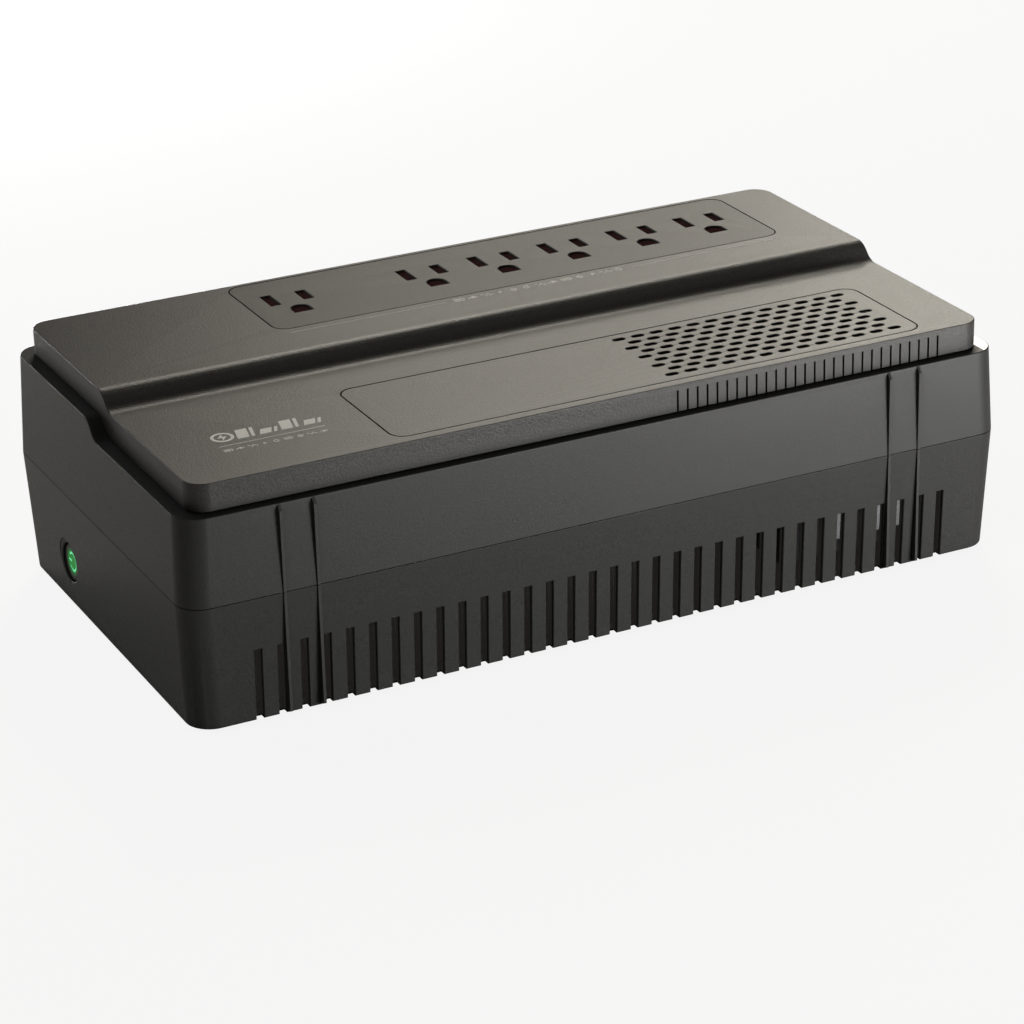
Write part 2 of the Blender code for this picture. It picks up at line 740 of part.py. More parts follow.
def make_vent_panel():
    """Blank panel whose right half is perforated over the transformer."""
    flange_y = (COVER_FRONT + COVER_WALL + GAP, VENT_PANEL_Y[1] + FLANGE)
    panel = flanged_panel("vent_panel", VENT_PANEL_Y, COVER_LOW, flange_y)

    def add_vents(bm):
        corner = VENT_HALF_LENGTH - VENT_HALF_WIDTH * 0.6
        shape = (
            (-VENT_HALF_LENGTH, 0),
            (-corner, -VENT_HALF_WIDTH),
            (corner, -VENT_HALF_WIDTH),
            (VENT_HALF_LENGTH, 0),
            (corner, VENT_HALF_WIDTH),
            (-corner, VENT_HALF_WIDTH),
        )
        for x, y in vent_places():
            add_plate(bm, [(x + dx, y + dy) for dx, dy in shape], COVER_LOW - FAR, COVER_LOW + PAST)

    combine(panel, "DIFFERENCE", tool_from("vent_panel.vents", add_vents))


# Feet and fasteners


def make_feet():
    profile = [(FOOT_RADIUS - 0.8, 0), (FOOT_RADIUS, 0.8), (FOOT_RADIUS, FOOT_TOP)]
    for i, (x, y) in enumerate(FOOT_PLACES, 1):
        turned_object(f"rubber_foot_{i}", profile, "rubber", origin=(x, y, 0), segments=FOOT_STEPS)


def make_screw(name, place, head, head_height, shank, length):
    """Pan-head screw whose head points down the given axis."""
    origin, axis = place
    profile = [(head * 0.8, -head_height), (head, -head_height * 0.6), (head, 0), (shank, 0), (shank, length)]
    turned_object(name, profile, "steel", axis=axis, origin=origin, segments=SCREW_STEPS)


def make_case_screws():
    for i, (x, y) in enumerate(SCREW_PLACES, 1):
        place = ((x, y, COUNTERBORE_TOP - GAP), (0, 0, 1))
        make_screw(f"case_screw_{i}", place, 3.8, 2.8, 1.7, 30)


# Power button


def symbol_prisms(bm, stroke, x0, x1):
    """Power symbol, open towards the back: an arc and a bar, extruded along X."""
    half = stroke / 2
    arc_steps = 10
    start, end = SYMBOL_OPENING, 2 * math.pi - SYMBOL_OPENING
    inner, outer = [], []
    for i in range(arc_steps + 1):
        angle = start + (end - start) * i / arc_steps
        direction = Vector((math.cos(angle), math.sin(angle)))
        inner.append((SYMBOL_RADIUS - half) * direction)
        outer.append((SYMBOL_RADIUS + half) * direction)
    arc = [*outer, *reversed(inner)]
    bar_start, bar_end = SYMBOL_RADIUS / 2, SYMBOL_RADIUS + SYMBOL_STROKE
    bar = [(bar_start, -half), (bar_end, -half), (bar_end, half), (bar_start, half)]
    for shape in (arc, bar):
        add_loft(bm, [[(x, BUTTON_Y + y, BUTTON_Z + z) for y, z in shape] for x in (x0, x1)])


def make_power_button():
    """Push cap with its skirt and stem, and the lit symbol that shows through it."""
    origin = (BUTTON_FACE_X, BUTTON_Y, BUTTON_Z)
    skirt_top, skirt_bottom, edge = -2.1, -3.6, 0.4
    profile = [
        (STEM_RADIUS, -STEM_LENGTH),
        (STEM_RADIUS, skirt_bottom),
        (BUTTON_SKIRT, skirt_bottom),
        (BUTTON_SKIRT, skirt_top),
        (BUTTON_CAP, skirt_top),
        (BUTTON_CAP, -edge),
        (BUTTON_CAP - edge, 0),
    ]
    cap = turned_object("power_button", profile, "case_plastic", (-1, 0, 0), origin, BUTTON_STEPS)
    bm = bmesh.new()
    symbol_prisms(bm, SYMBOL_STROKE, BUTTON_FACE_X - PAST, BUTTON_FACE_X - skirt_bottom + PAST)
    combine(cap, "DIFFERENCE", make_object("power_button.symbol", bm, "steel"))

    guide_top = skirt_bottom - GAP
    disc = [(GUIDE_RADIUS, guide_top - 1.3), (GUIDE_RADIUS, guide_top)]
    guide = turned_object(
        "power_light_guide", disc, "green_light", (-1, 0, 0), origin, BUTTON_STEPS, STEM_RADIUS + GAP
    )
    bm = bmesh.new()
    symbol_prisms(bm, SYMBOL_STROKE - 0.2, BUTTON_FACE_X + 0.05, BUTTON_FACE_X - guide_top + 0.5)
    combine(guide, "UNION", make_object("power_light_guide.symbol", bm, "steel"))
    sleeve = [(SLEEVE_RADIUS, -12.4), (SLEEVE_RADIUS, -2.4)]
    turned_object("button_guide", sleeve, "black_plastic", (-1, 0, 0), origin, BUTTON_STEPS, SLEEVE_BORE)
    make_button_board()


def make_button_board():
    """Small board behind the power button with its switch and status light."""
    board_x = BUTTON_FACE_X + BUTTON_BOARD_BACK
    face_x = board_x - GAP
    half = BUTTON_BOARD_HALF
    box_object(
        "button_board",
        (board_x, BUTTON_Y - half + 0.5, BUTTON_Z - half),
        (board_x + BOARD_Z[1] - BOARD_Z[0], BUTTON_Y + half, BUTTON_Z + half),
        "board_green",
    )
    switch = box_object(
        "button_switch",
        (face_x - SWITCH_HEIGHT, BUTTON_Y - SWITCH_HALF, BUTTON_Z - SWITCH_HALF),
        (face_x, BUTTON_Y + SWITCH_HALF, BUTTON_Z + SWITCH_HALF),
        "black_plastic",
    )
    bore_origin = (face_x - SWITCH_HEIGHT, BUTTON_Y, BUTTON_Z)
    bore = [(1.7, -PAST), (1.7, 2.7)]
    tool = turned_object("button_switch.bore", bore, "steel", (1, 0, 0), bore_origin, POST_STEPS)
    combine(switch, "DIFFERENCE", tool)
    stem_end = (BUTTON_FACE_X + STEM_LENGTH, BUTTON_Y, BUTTON_Z)
    pin = [(1.4, 0.1), (1.4, 0.9)]
    turned_object("switch_plunger", pin, "socket_plastic", (1, 0, 0), stem_end, POST_STEPS)
    led = [(1.5, 0), (1.5, 2.4), (1.1, 3.2)]
    led_origin = (face_x, BUTTON_Y + 5.4, BUTTON_Z)
    turned_object("status_led", led, "green_light", (-1, 0, 0), led_origin, SCREW_STEPS)


# Cord gland and circuit breaker in the right end


def make_gland():
    """Gland bushing: flange outside, barrel through the wall, barbs behind it."""
    barrel, flange, inside = GLAND_HOLE - GAP, 8.6, -GAP - WALL
    profile = [
        (7.2, inside - 2.8),
        (7.4, inside),
        (barrel, inside),
        (barrel, GAP),
        (flange, GAP),
        (flange, 2.2),
        (flange - 0.8, 3.0),
    ]
    origin = (RECESS_X, GLAND_Y, RECESS_MID_Z)
    turned_object("cord_gland", profile, "black_plastic", (1, 0, 0), origin, BUTTON_STEPS, GLAND_BORE)


def make_breaker():
    """Thermal circuit breaker: body, threaded neck, ring nut and the button that pops out."""
    inner_x = RECESS_X - WALL - GAP
    half_y, half_z = 7.0, 8.0
    body = box_object(
        "circuit_breaker",
        (inner_x - BREAKER_LENGTH, BREAKER_Y - half_y, RECESS_MID_Z - half_z),
        (inner_x, BREAKER_Y + half_y, RECESS_MID_Z + half_z),
        "black_plastic",
    )
    axis = (1, 0, 0)
    origin = (inner_x, BREAKER_Y, RECESS_MID_Z)
    neck = [(BREAKER_NECK, -PAST), (BREAKER_NECK, 6.0)]
    bore = [(BREAKER_BORE, 0.2), (BREAKER_BORE, 9.0)]
    combine(body, "UNION", turned_object("circuit_breaker.neck", neck, "steel", axis, origin))
    combine(body, "DIFFERENCE", turned_object("circuit_breaker.bore", bore, "steel", axis, origin))
    face = (RECESS_X, BREAKER_Y, RECESS_MID_Z)
    nut = turned_object("breaker_nut", [(7.4, GAP), (7.4, 2.6)], "steel", axis, face, 6)
    clear = BREAKER_NECK + 0.35
    hole = [(clear, -2), (clear, 6)]
    combine(nut, "DIFFERENCE", turned_object("breaker_nut.bore", hole, "steel", axis, face, BUTTON_STEPS))
    reach = BREAKER_BORE - GAP
    button = [(reach, 0.5), (reach, 6.3), (reach - 0.5, 6.8)]
    turned_object("breaker_button", button, "black_plastic", axis, origin)


# Battery


def make_battery():
    """Sealed battery block with its lid, two tab terminals and two foam pads on top."""
    low, high = BATTERY_LOW, BATTERY_HIGH
    box_object("battery_case", low, high, "battery_plastic")
    lid_low = (low[0], high[1] + GAP, low[2])
    box_object("battery_lid", lid_low, (high[0], BATTERY_LID_Y, high[2]), "black_plastic")
    terminals = {"positive": high[0] - TERMINAL_INSET, "negative": low[0] + TERMINAL_INSET}
    for name, x in terminals.items():
        foot_low = (x - 4, BATTERY_LID_Y + GAP, TERMINAL_Z)
        foot = (foot_low, (x + 4, BATTERY_LID_Y + 1.1, TERMINAL_Z + 8))
        tab_low = (x - 3.2, BATTERY_LID_Y + 0.8, TERMINAL_Z + 3)
        tab = (tab_low, (x + 3.2, BATTERY_LID_Y + 7.0, TERMINAL_Z + 3.8))
        boxes_object("battery_terminal_" + name, [foot, tab], "steel")
    for i, x in enumerate((low[0] + PAD_WIDTH, high[0] - PAD_WIDTH - PAD_LENGTH), 1):
        pad_low = (x, low[1] + 3, high[2] + GAP)
        pad_high = (x + PAD_LENGTH, pad_low[1] + PAD_WIDTH, RIM_LOW - WALL - GAP)
        box_object(f"battery_pad_{i}", pad_low, pad_high, "foam")


def make_lead(name, route, material_name):
    """Insulated wire along a smooth curve through a few points."""
    samples = []
    ends = [route[0], *route, route[-1]]
    for a, b, c, d in zip(ends, ends[1:], ends[2:], ends[3:]):
        for i in range(LEAD_SAMPLES):
            t = i / LEAD_SAMPLES
            point = 0.5 * (
                2 * Vector(b)
                + (Vector(c) - Vector(a)) * t
                + (2 * Vector(a) - 5 * Vector(b) + 4 * Vector(c) - Vector(d)) * t**2
                + (3 * Vector(b) - Vector(a) - 3 * Vector(c) + Vector(d)) * t**3
            )
            samples.append(point)
    samples.append(Vector(route[-1]))
    data = bpy.data.curves.new(name, "CURVE")
    data.dimensions = "3D"
    data.bevel_depth = LEAD_RADIUS * METRE
    data.bevel_resolution = 1
    data.use_fill_caps = True
    line = data.splines.new("POLY")
    line.points.add(len(samples) - 1)
    for point, place in zip(line.points, samples):
        point.co = (*(place * METRE), 1)
    data.materials.append(material(material_name))
    made = bpy.data.objects.new(name, data)
    bpy.context.scene.collection.objects.link(made)


def make_leads():
    """The two leads, from the terminals down to the main board."""
    start = (BATTERY_LID_Y + 9.0, TERMINAL_Z + 3.4)
    bends = ((0.6, 3.0, -5.4), (1.0, 6.0, -21.4), (1.0, 6.5, -39.4))
    leads = (
        ("battery_lead_red", "red_wire", BATTERY_HIGH[0] - TERMINAL_INSET, 20.0),
        ("battery_lead_black", "black_plastic", BATTERY_LOW[0] + TERMINAL_INSET, 17.0),
    )
    for name, material_name, x, reach in leads:
        route = [(x, *start)]
        route.extend((x + reach * along_x, start[0] + dy, start[1] + dz) for along_x, dy, dz in bends)
        make_lead(name, route, material_name)


# Transformer


def bracket_screw_places():
    y = CORE_Y[1] + 8.5
    return ((CORE_X[0] + 10, y), (CORE_X[1] - 10, y))


def make_transformer():
    """Laminated core, bobbin and winding, clamped by a sheet-metal bracket."""
    core = box_object(
        "transformer_core", (CORE_X[0], CORE_Y[0], CORE_Z[0]), (CORE_X[1], CORE_Y[1], CORE_Z[1]), "steel"
    )
    window_z = (CORE_Z[0] + CORE_LEG, CORE_Z[1] - CORE_LEG)
    front = (CORE_Y[0] + CORE_LEG, CORE_Y[0] + 2 * CORE_LEG)
    back = (CORE_Y[1] - 2 * CORE_LEG, CORE_Y[1] - CORE_LEG)

    def add_windows(bm):
        for y0, y1 in (front, back):
            add_box(bm, (CORE_X[0] - PAST, y0, window_z[0]), (CORE_X[1] + PAST, y1, window_z[1]))

    combine(core, "DIFFERENCE", tool_from("transformer_core.windows", add_windows))

    tube = (CORE_X[0] - GAP, CORE_X[1] + GAP, front[1] - GAP, back[0] + GAP)
    z0, z1 = window_z[0] + GAP, window_z[1] - GAP
    flange_low = (tube[0] - BOBBIN_SPREAD, front[0] + GAP)
    flange_high = (tube[1] + BOBBIN_SPREAD, back[1] - GAP)
    bobbin = box_object(
        "transformer_bobbin",
        (tube[0] - BOBBIN_WALL, tube[2] - BOBBIN_WALL, z0),
        (tube[1] + BOBBIN_WALL, tube[3] + BOBBIN_WALL, z1),
        "socket_plastic",
    )

    def add_flanges(bm):
        add_box(bm, (*flange_low, z0), (*flange_high, z0 + BOBBIN_FLANGE))
        add_box(bm, (*flange_low, z1 - BOBBIN_FLANGE), (*flange_high, z1))

    combine(bobbin, "UNION", tool_from("transformer_bobbin.flanges", add_flanges))
    hole_low = (tube[0], tube[2], z0 - PAST)
    hole = box_object("transformer_bobbin.hole", hole_low, (tube[1], tube[3], z1 + PAST), "steel")
    combine(bobbin, "DIFFERENCE", hole)

    bm = bmesh.new()
    inset = 0.8
    coil_x = (flange_low[0] + inset, flange_high[0] - inset)
    outline = rounded_outline(*coil_x, flange_low[1] + inset, flange_high[1] - inset, 5.0, 4)
    add_plate(bm, outline, z0 + BOBBIN_FLANGE + GAP, z1 - BOBBIN_FLANGE - GAP)
    winding = make_object("transformer_winding", bm, "copper")
    clear = BOBBIN_WALL + GAP
    core_hole = box_object(
        "transformer_winding.hole",
        (tube[0] - clear, tube[2] - clear, z0 - PAST),
        (tube[1] + clear, tube[3] + clear, z1 + PAST),
        "steel",
    )
    combine(winding, "DIFFERENCE", core_hole)
    make_bracket()


def make_bracket():
    """Sheet bracket over the core: top, back with a foot, and two clamping legs in front."""
    x0, x1 = BRACKET_X
    sheet = BRACKET_SHEET
    front, back = CORE_Y[0] - GAP, CORE_Y[1] + GAP
    top = CORE_Z[1] + GAP
    foot = CORE_Z[0]
    boxes = [
        ((x0, front - sheet, top), (x1, back + sheet, top + sheet)),
        ((x0, back, foot), (x1, back + sheet, top + sheet / 2)),
        ((x0, back + sheet / 2, foot), (x1, back + BRACKET_FOOT, foot + sheet)),
    ]
    for leg_low, leg_high in BRACKET_LEG_X:
        boxes.append(((leg_low, front - sheet, BRACKET_LEG_END), (leg_high, front, top + sheet / 2)))
    bracket = boxes_object("transformer_bracket", boxes, "steel")

    def add_holes(bm):
        for x, y in bracket_screw_places():
            hole = [(BRACKET_HOLE, foot - PAST), (BRACKET_HOLE, foot + sheet + PAST)]
            add_turned(bm, hole, POST_STEPS, origin=(x, y, 0))

    combine(bracket, "DIFFERENCE", tool_from("transformer_bracket.holes", add_holes))
    for i, (x, y) in enumerate(bracket_screw_places(), 1):
        place = ((x, y, foot + sheet + GAP), (0, 0, -1))
        make_screw(f"bracket_screw_{i}", place, 3.2, 2.2, 1.5, 4.0)


# Main board


def standoff_places():
    xs = (BOARD_X[0] + STANDOFF_INSET, BOARD_X[1] - STANDOFF_INSET)
    ys = (BOARD_Y[0] + STANDOFF_INSET, BOARD_Y[1] - STANDOFF_INSET)
    return [(x, y) for x in xs for y in ys]


def make_board():
    low = (BOARD_X[0], BOARD_Y[0], BOARD_Z[0])
    board = box_object("main_board", low, (BOARD_X[1], BOARD_Y[1], BOARD_Z[1]), "board_green")

    def add_holes(bm):
        for x, y in standoff_places():
            hole = [(STANDOFF_HOLE + 0.2, BOARD_Z[0] - PAST), (STANDOFF_HOLE + 0.2, BOARD_Z[1] + PAST)]
            add_turned(bm, hole, HOLE_STEPS, origin=(x, y, 0))

    combine(board, "DIFFERENCE", tool_from("main_board.holes", add_holes))
    for i, (x, y) in enumerate(standoff_places(), 1):
        make_screw(f"board_screw_{i}", ((x, y, PART_Z), (0, 0, -1)), 2.7, 1.8, 1.1, 5.5)


def make_heat_sink():
    """Finned aluminium sink with two power transistors on its front."""
    x0, x1 = SINK_X
    y = SINK_Y
    top = PART_Z + SINK_HEIGHT
    boxes = [((x0, y, PART_Z), (x1, y + 3, top))]
    for i in range(SINK_FINS):
        x = x0 + i * (x1 - x0 - SINK_FIN_WIDTH) / (SINK_FINS - 1)
        boxes.append(((x, y + 2, PART_Z), (x + SINK_FIN_WIDTH, y + 13, top)))
    boxes_object("heat_sink", boxes, "aluminium")
    face = y - GAP
    width = 10.0
    for i, x in enumerate((x0 + 12, x1 - 22), 1):
        package = ((x, face - 4.5, PART_Z + 6), (x + width, face, PART_Z + 16))
        tab = ((x, face - 1.3, PART_Z + 15), (x + width, face, PART_Z + 22))
        leg = ((x + 4, face - 2.6, PART_Z), (x + 6, face - 1.8, PART_Z + 7))
        boxes_object(f"power_transistor_{i}", [package, tab, leg], "black_plastic")


def make_board_parts():
    can = [(7.6, 0), (8.0, 0.8), (8.0, 29), (7.4, 30)]
    for i, x in enumerate((-5.0, 14.0), 1):
        turned_object(f"capacitor_{i}", can, "blue_plastic", origin=(x, 62, PART_Z))
    for i, x in enumerate((36.0, 58.0), 1):
        box_object(f"relay_{i}", (x, 52, PART_Z), (x + 16, 70, PART_Z + 20), "blue_plastic")
    buzzer = [(6.0, 0), (6.0, 6.5), (5.4, 7.0)]
    turned_object("buzzer", buzzer, "black_plastic", origin=(-88, 60, PART_Z))
    choke = [(9.0, 0), (10.0, 1.0), (10.0, 8.0), (9.0, 9.0)]
    turned_object("choke", choke, "copper", origin=(62, 41, PART_Z), bore=5.0)
    box_object("fuse", (-18, 38, PART_Z), (2, 43, PART_Z + 17), "blue_plastic")


def main():
    clear_scene()
    make_bottom_shell()
    make_upper_housing()
    make_top_cover()
    make_outlet_panel()
    make_contact_carrier()
    make_vent_panel()
    make_feet()
    make_case_screws()
    make_power_button()
    make_gland()
    make_breaker()
    make_battery()
    make_leads()
    make_transformer()
    make_board()
    make_heat_sink()
    make_board_parts()


main()
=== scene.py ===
"""Looks of a desktop uninterruptible power supply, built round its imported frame.

Shapes are drawn in millimetres and turned into scene metres when a piece is finished.
"""

import json
import math

import bmesh
import bpy
from mathutils import Matrix, Vector


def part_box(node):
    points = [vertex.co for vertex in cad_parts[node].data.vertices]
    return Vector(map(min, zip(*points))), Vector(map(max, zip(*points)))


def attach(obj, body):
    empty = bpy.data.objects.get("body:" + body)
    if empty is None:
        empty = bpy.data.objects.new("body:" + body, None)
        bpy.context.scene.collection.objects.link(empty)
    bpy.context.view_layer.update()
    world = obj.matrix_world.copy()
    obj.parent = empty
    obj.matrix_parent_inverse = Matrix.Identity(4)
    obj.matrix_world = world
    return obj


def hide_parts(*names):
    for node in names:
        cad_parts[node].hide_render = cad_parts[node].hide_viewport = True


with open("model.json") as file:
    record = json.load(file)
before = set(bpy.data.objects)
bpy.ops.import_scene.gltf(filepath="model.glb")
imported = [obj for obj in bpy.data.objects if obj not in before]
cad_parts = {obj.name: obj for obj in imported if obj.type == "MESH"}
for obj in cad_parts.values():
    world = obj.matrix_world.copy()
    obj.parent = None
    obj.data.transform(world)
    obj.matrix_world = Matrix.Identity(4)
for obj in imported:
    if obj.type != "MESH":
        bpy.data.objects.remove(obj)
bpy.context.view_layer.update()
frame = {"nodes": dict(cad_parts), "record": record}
METRE = 0.001


def box_mm(node):
    """Lowest and highest corner of a CAD node, in millimetres."""
    low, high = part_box(node)
    return low / METRE, high / METRE


# Sizes read from the frame

SHELL_LOW, SHELL_HIGH = box_mm("bottom_shell")
HOUSING_LOW, HOUSING_HIGH = box_mm("upper_housing")
COVER_BOX = box_mm("top_cover")
OUTLET_BOX = box_mm("outlet_panel")
VENT_BOX = box_mm("vent_panel")
BUTTON_BOX = box_mm("power_button")

BASE_Z = SHELL_LOW.z
SEAM_Z = SHELL_HIGH.z + 0.15
SEAM_HALF_X = SHELL_HIGH.x
SEAM_HALF_Y = SHELL_HIGH.y - 0.4
FIN_FACE_Y = SHELL_HIGH.y
RIM_HIGH = HOUSING_HIGH.z
RIM_LOW = RIM_HIGH - 5.9
PRINT_RISE = 0.04
PRINT_DEPTH = 0.05
COVER_HIGH = COVER_BOX[1].z - PRINT_RISE
COVER_LOW = VENT_BOX[1].z
COVER_X = COVER_BOX[1].x
COVER_FRONT = COVER_BOX[0].y
COVER_BACK = COVER_BOX[1].y
BUTTON_FACE_X = BUTTON_BOX[0].x
BUTTON_Y = (BUTTON_BOX[0].y + BUTTON_BOX[1].y) / 2
BUTTON_Z = (BUTTON_BOX[0].z + BUTTON_BOX[1].z) / 2
PANEL_FLANGE = 2.4
PANEL_X = (OUTLET_BOX[0].x + PANEL_FLANGE, OUTLET_BOX[1].x - PANEL_FLANGE)
OUTLET_Y = (OUTLET_BOX[0].y + PANEL_FLANGE, OUTLET_BOX[1].y)
VENT_Y = (VENT_BOX[0].y + 1.9, VENT_BOX[1].y - PANEL_FLANGE)
OUTLET_X = [m["pos_m"][0] / METRE for m in frame["record"]["mounts"] if m["name"].startswith("outlet")]

# Sizes of the fine shape

LOWER_DRAFT = 0.044
UPPER_DRAFT = 0.041
CASE_CORNER = 9.0
COVER_CORNER = 7.1
PANEL_CORNER = 5.2
WALL = 2.5
COVER_WALL = 2.2
RIM_STEP_Y = 1.8
COVER_STEP_Y = -0.6
STEP_SLOPE = math.radians(45)
STEP_RADIUS = 7.6
ARC_STEPS = 8
CORNER_STEPS = 12

SLOT_COUNT = 33
SLOT_PITCH = 7.966
SLOT_WIDTH = 2.655
SLOT_TOP = 27.1
SLOT_INNER_Y = 74.9
FIN_X = (-117.6, -105.9, 105.9, 117.6)

LIP_SLOT_COUNT = 28
LIP_SLOT_FIRST_X = 26.4
LIP_SLOT_PITCH = 3.737
LIP_SLOT_WIDTH = 0.64
LIP_SLOT_TOP = 83.2

VENT_ROWS = 9
VENT_COLUMNS = 13
VENT_FIRST_X = 29.5
VENT_PITCH_X = 7.2
VENT_BACK_Y = -28.4
VENT_PITCH_Y = 4.63
VENT_LENGTH = 4.7
VENT_WIDTH = 2.2

BLADE_Y = 52.8
BLADE_SPREAD = 6.35
BLADE_WIDTH = 3.5
NEUTRAL_LENGTH = 10.4
LINE_LENGTH = 8.7
EARTH_Y = 41.0
EARTH_RADIUS = 3.4

SYMBOL_RADIUS = 3.2
SYMBOL_STROKE = 0.82
RECESS_X = 146.0
RECESS_Y = (12.0, 62.0)
RECESS_Z = (9.0, 35.0)
RECESS_MID_Z = 22.0
RECESS_CORNER = 2.0
RECESS_CHAMFER = 0.45
GLAND_Y = 50.0
GLAND_HOLE = 6.5
BREAKER_Y = 26.0
BREAKER_HOLE = 4.9

BASE_RADIUS = 0.5
SEAM_GAP = 0.1
SEAM_RADIUS = 0.14
RIM_RADIUS = 0.4
COVER_RADIUS = 0.4
COVER_GAP = 0.35
PANEL_RADIUS = 0.22
PANEL_PLATE = 2.5
FIN_HALF = 0.5
FIN_EDGE = 0.05
FIN_CHAMFER = 1.9

# Turned outlines as (radius, height) pairs

SCREW_WELL = ((7.0, 3.0), (7.0, 31.5))
SCREW_BORE = (
    (4.9, BASE_Z - 3), (4.9, BASE_Z), (4.3, BASE_Z + 0.6), (4.3, 30.0), (2.3, 30.0), (2.3, 34.0)
)
FOOT_SEAT = ((8.7, BASE_Z - 3), (8.7, BASE_Z), (8.3, BASE_Z + 0.4), (8.3, 3.3))
BUTTON_DISH = (
    (7.0, -6.0), (7.0, -0.75), (7.06, -0.55), (7.3, -0.36), (7.8, -0.2), (8.5, -0.06), (9.2, 0.6), (9.2, 4)
)
CAP = (
    (1.1, -8.6), (1.1, -3.6), (7.9, -3.6), (8.0, -3.5), (8.0, -2.2), (7.9, -2.1), (6.6, -2.1),
    (6.6, -0.6), (6.55, -0.36), (6.4, -0.16), (6.15, -0.04), (5.9, 0.0), (5.6, -0.02),
)
CAP_DISH_RADIUS = 5.6
SYMBOL_DISC = ((1.4, -5.2), (4.9, -5.2), (5.0, -5.1), (5.0, -4.0), (4.9, -3.9), (1.4, -3.9))
FOOT = (
    (0.5, 1.6), (0.6, 0.12), (0.8, 0.0), (3.9, 0.0), (4.1, 0.1), (4.3, 0.35), (4.9, 0.35), (5.1, 0.1),
    (5.3, 0.0), (7.3, 0.0), (7.65, 0.1), (7.9, 0.35), (8.0, 0.7), (8.0, 2.7), (7.8, 3.0),
)
GLAND = (
    (3.9, -5.6), (6.9, -5.6), (7.4, -2.8), (6.2, -2.8), (6.2, 0.3), (8.4, 0.3), (8.6, 0.5), (8.6, 1.8),
    (8.4, 2.3), (7.9, 2.7), (7.2, 2.95), (6.2, 3.0), (5.0, 2.95), (4.4, 2.7), (4.0, 2.2), (3.9, 1.6),
)
NUT = ((4.95, 0.3), (7.0, 0.3), (7.4, 0.55), (7.4, 2.1), (6.85, 2.6), (5.3, 2.6), (4.95, 2.35))
NUT_CORNER = 7.4
BREAKER = (
    (2.6, -2.3), (2.8, -2.1), (2.8, 3.1), (2.72, 3.5), (2.5, 3.8), (2.1, 3.97), (1.5, 4.0), (0.7, 3.9),
    (0.15, 3.86),
)


# Mesh helpers


def rounded_outline(x0, x1, y0, y1, radius, steps=CORNER_STEPS, stations=()):
    """Rectangle with round corners, counter-clockwise, with extra points at given y on both ends."""
    centres = (
        (x1 - radius, y0 + radius, -90),
        (x1 - radius, y1 - radius, 0),
        (x0 + radius, y1 - radius, 90),
        (x0 + radius, y0 + radius, 180),
    )
    points = []
    for corner, (cx, cy, start) in enumerate(centres):
        for i in range(steps + 1):
            angle = math.radians(start + 90 * i / steps)
            points.append((cx + radius * math.cos(angle), cy + radius * math.sin(angle)))
        if corner == 0:
            points.extend((x1, y) for y in stations)
        if corner == 2:
            points.extend((x0, y) for y in reversed(stations))
    return points


def add_loft(bm, loops, closed=False):
    """Solid through a stack of equal loops; closed joins the last loop to the first."""
    rings = [[bm.verts.new(point) for point in loop] for loop in loops]
    count = len(rings[0])
    pairs = list(zip(rings, rings[1:]))
    if closed:
        pairs.append((rings[-1], rings[0]))
    for lower, upper in pairs:
        for i in range(count):
            j = (i + 1) % count
            bm.faces.new((lower[i], lower[j], upper[j], upper[i]))
    if not closed:
        bm.faces.new(reversed(rings[0]))
        bm.faces.new(rings[-1])


def add_box(bm, low, high):
    outline = ((low[0], low[1]), (high[0], low[1]), (high[0], high[1]), (low[0], high[1]))
    add_loft(bm, [[(x, y, z) for x, y in outline] for z in (low[2], high[2])])


def add_plate(bm, outline, z0, z1):
    add_loft(bm, [[(x, y, z) for x, y in outline] for z in (z0, z1)])


def plan_middle(node):
    """Middle of a CAD node as seen from above."""
    low, high = box_mm(node)
    return (low.x + high.x) / 2, (low.y + high.y) / 2


def along(axis, origin):
    """Matrix that turns a piece built along +Z to an axis and moves it to its origin."""
    turn = Vector((0, 0, 1)).rotation_difference(Vector(axis)).to_matrix().to_4x4()
    return Matrix.Translation(Vector(origin)) @ turn


def add_turned(bm, profile, segments=48, axis=(0, 0, 1), origin=(0, 0, 0), closed=False, wobble=None):
    """Solid of revolution of (radius, height) points; closed makes a ring.

    wobble gives a change of radius from the angle and the radius.
    """
    place = along(axis, origin)
    loops = []
    for radius, height in profile:
        ring = []
        for i in range(segments):
            angle = 2 * math.pi * i / segments
            reach = radius + (wobble(angle, radius) if wobble else 0.0)
            ring.append(place @ Vector((reach * math.cos(angle), reach * math.sin(angle), height)))
        loops.append(ring)
    add_loft(bm, loops, closed)


def solid(name, adders):
    """Object in millimetres from functions that each add closed bodies to its mesh."""
    bm = bmesh.new()
    for adder in adders:
        adder(bm)
    bmesh.ops.recalc_face_normals(bm, faces=bm.faces)
    mesh = bpy.data.meshes.new(name)
    bm.to_mesh(mesh)
    bm.free()
    made = bpy.data.objects.new(name, mesh)
    bpy.context.scene.collection.objects.link(made)
    return made


def bake_modifiers(obj):
    """Replaces the object's mesh by its evaluated one."""
    bpy.context.view_layer.update()
    graph = bpy.context.evaluated_depsgraph_get()
    mesh = bpy.data.meshes.new_from_object(obj.evaluated_get(graph))
    obj.modifiers.clear()
    obj.data = mesh


def combine(obj, operation, *adders):
    """Exact boolean of obj with a shape made by the adders."""
    tool = solid(obj.name + ".tool", adders)
    step = obj.modifiers.new("step", "BOOLEAN")
    step.operation = operation
    step.solver = "EXACT"
    step.use_self = operation == "UNION"
    step.object = tool
    bake_modifiers(obj)
    bpy.data.objects.remove(tool)
    return obj


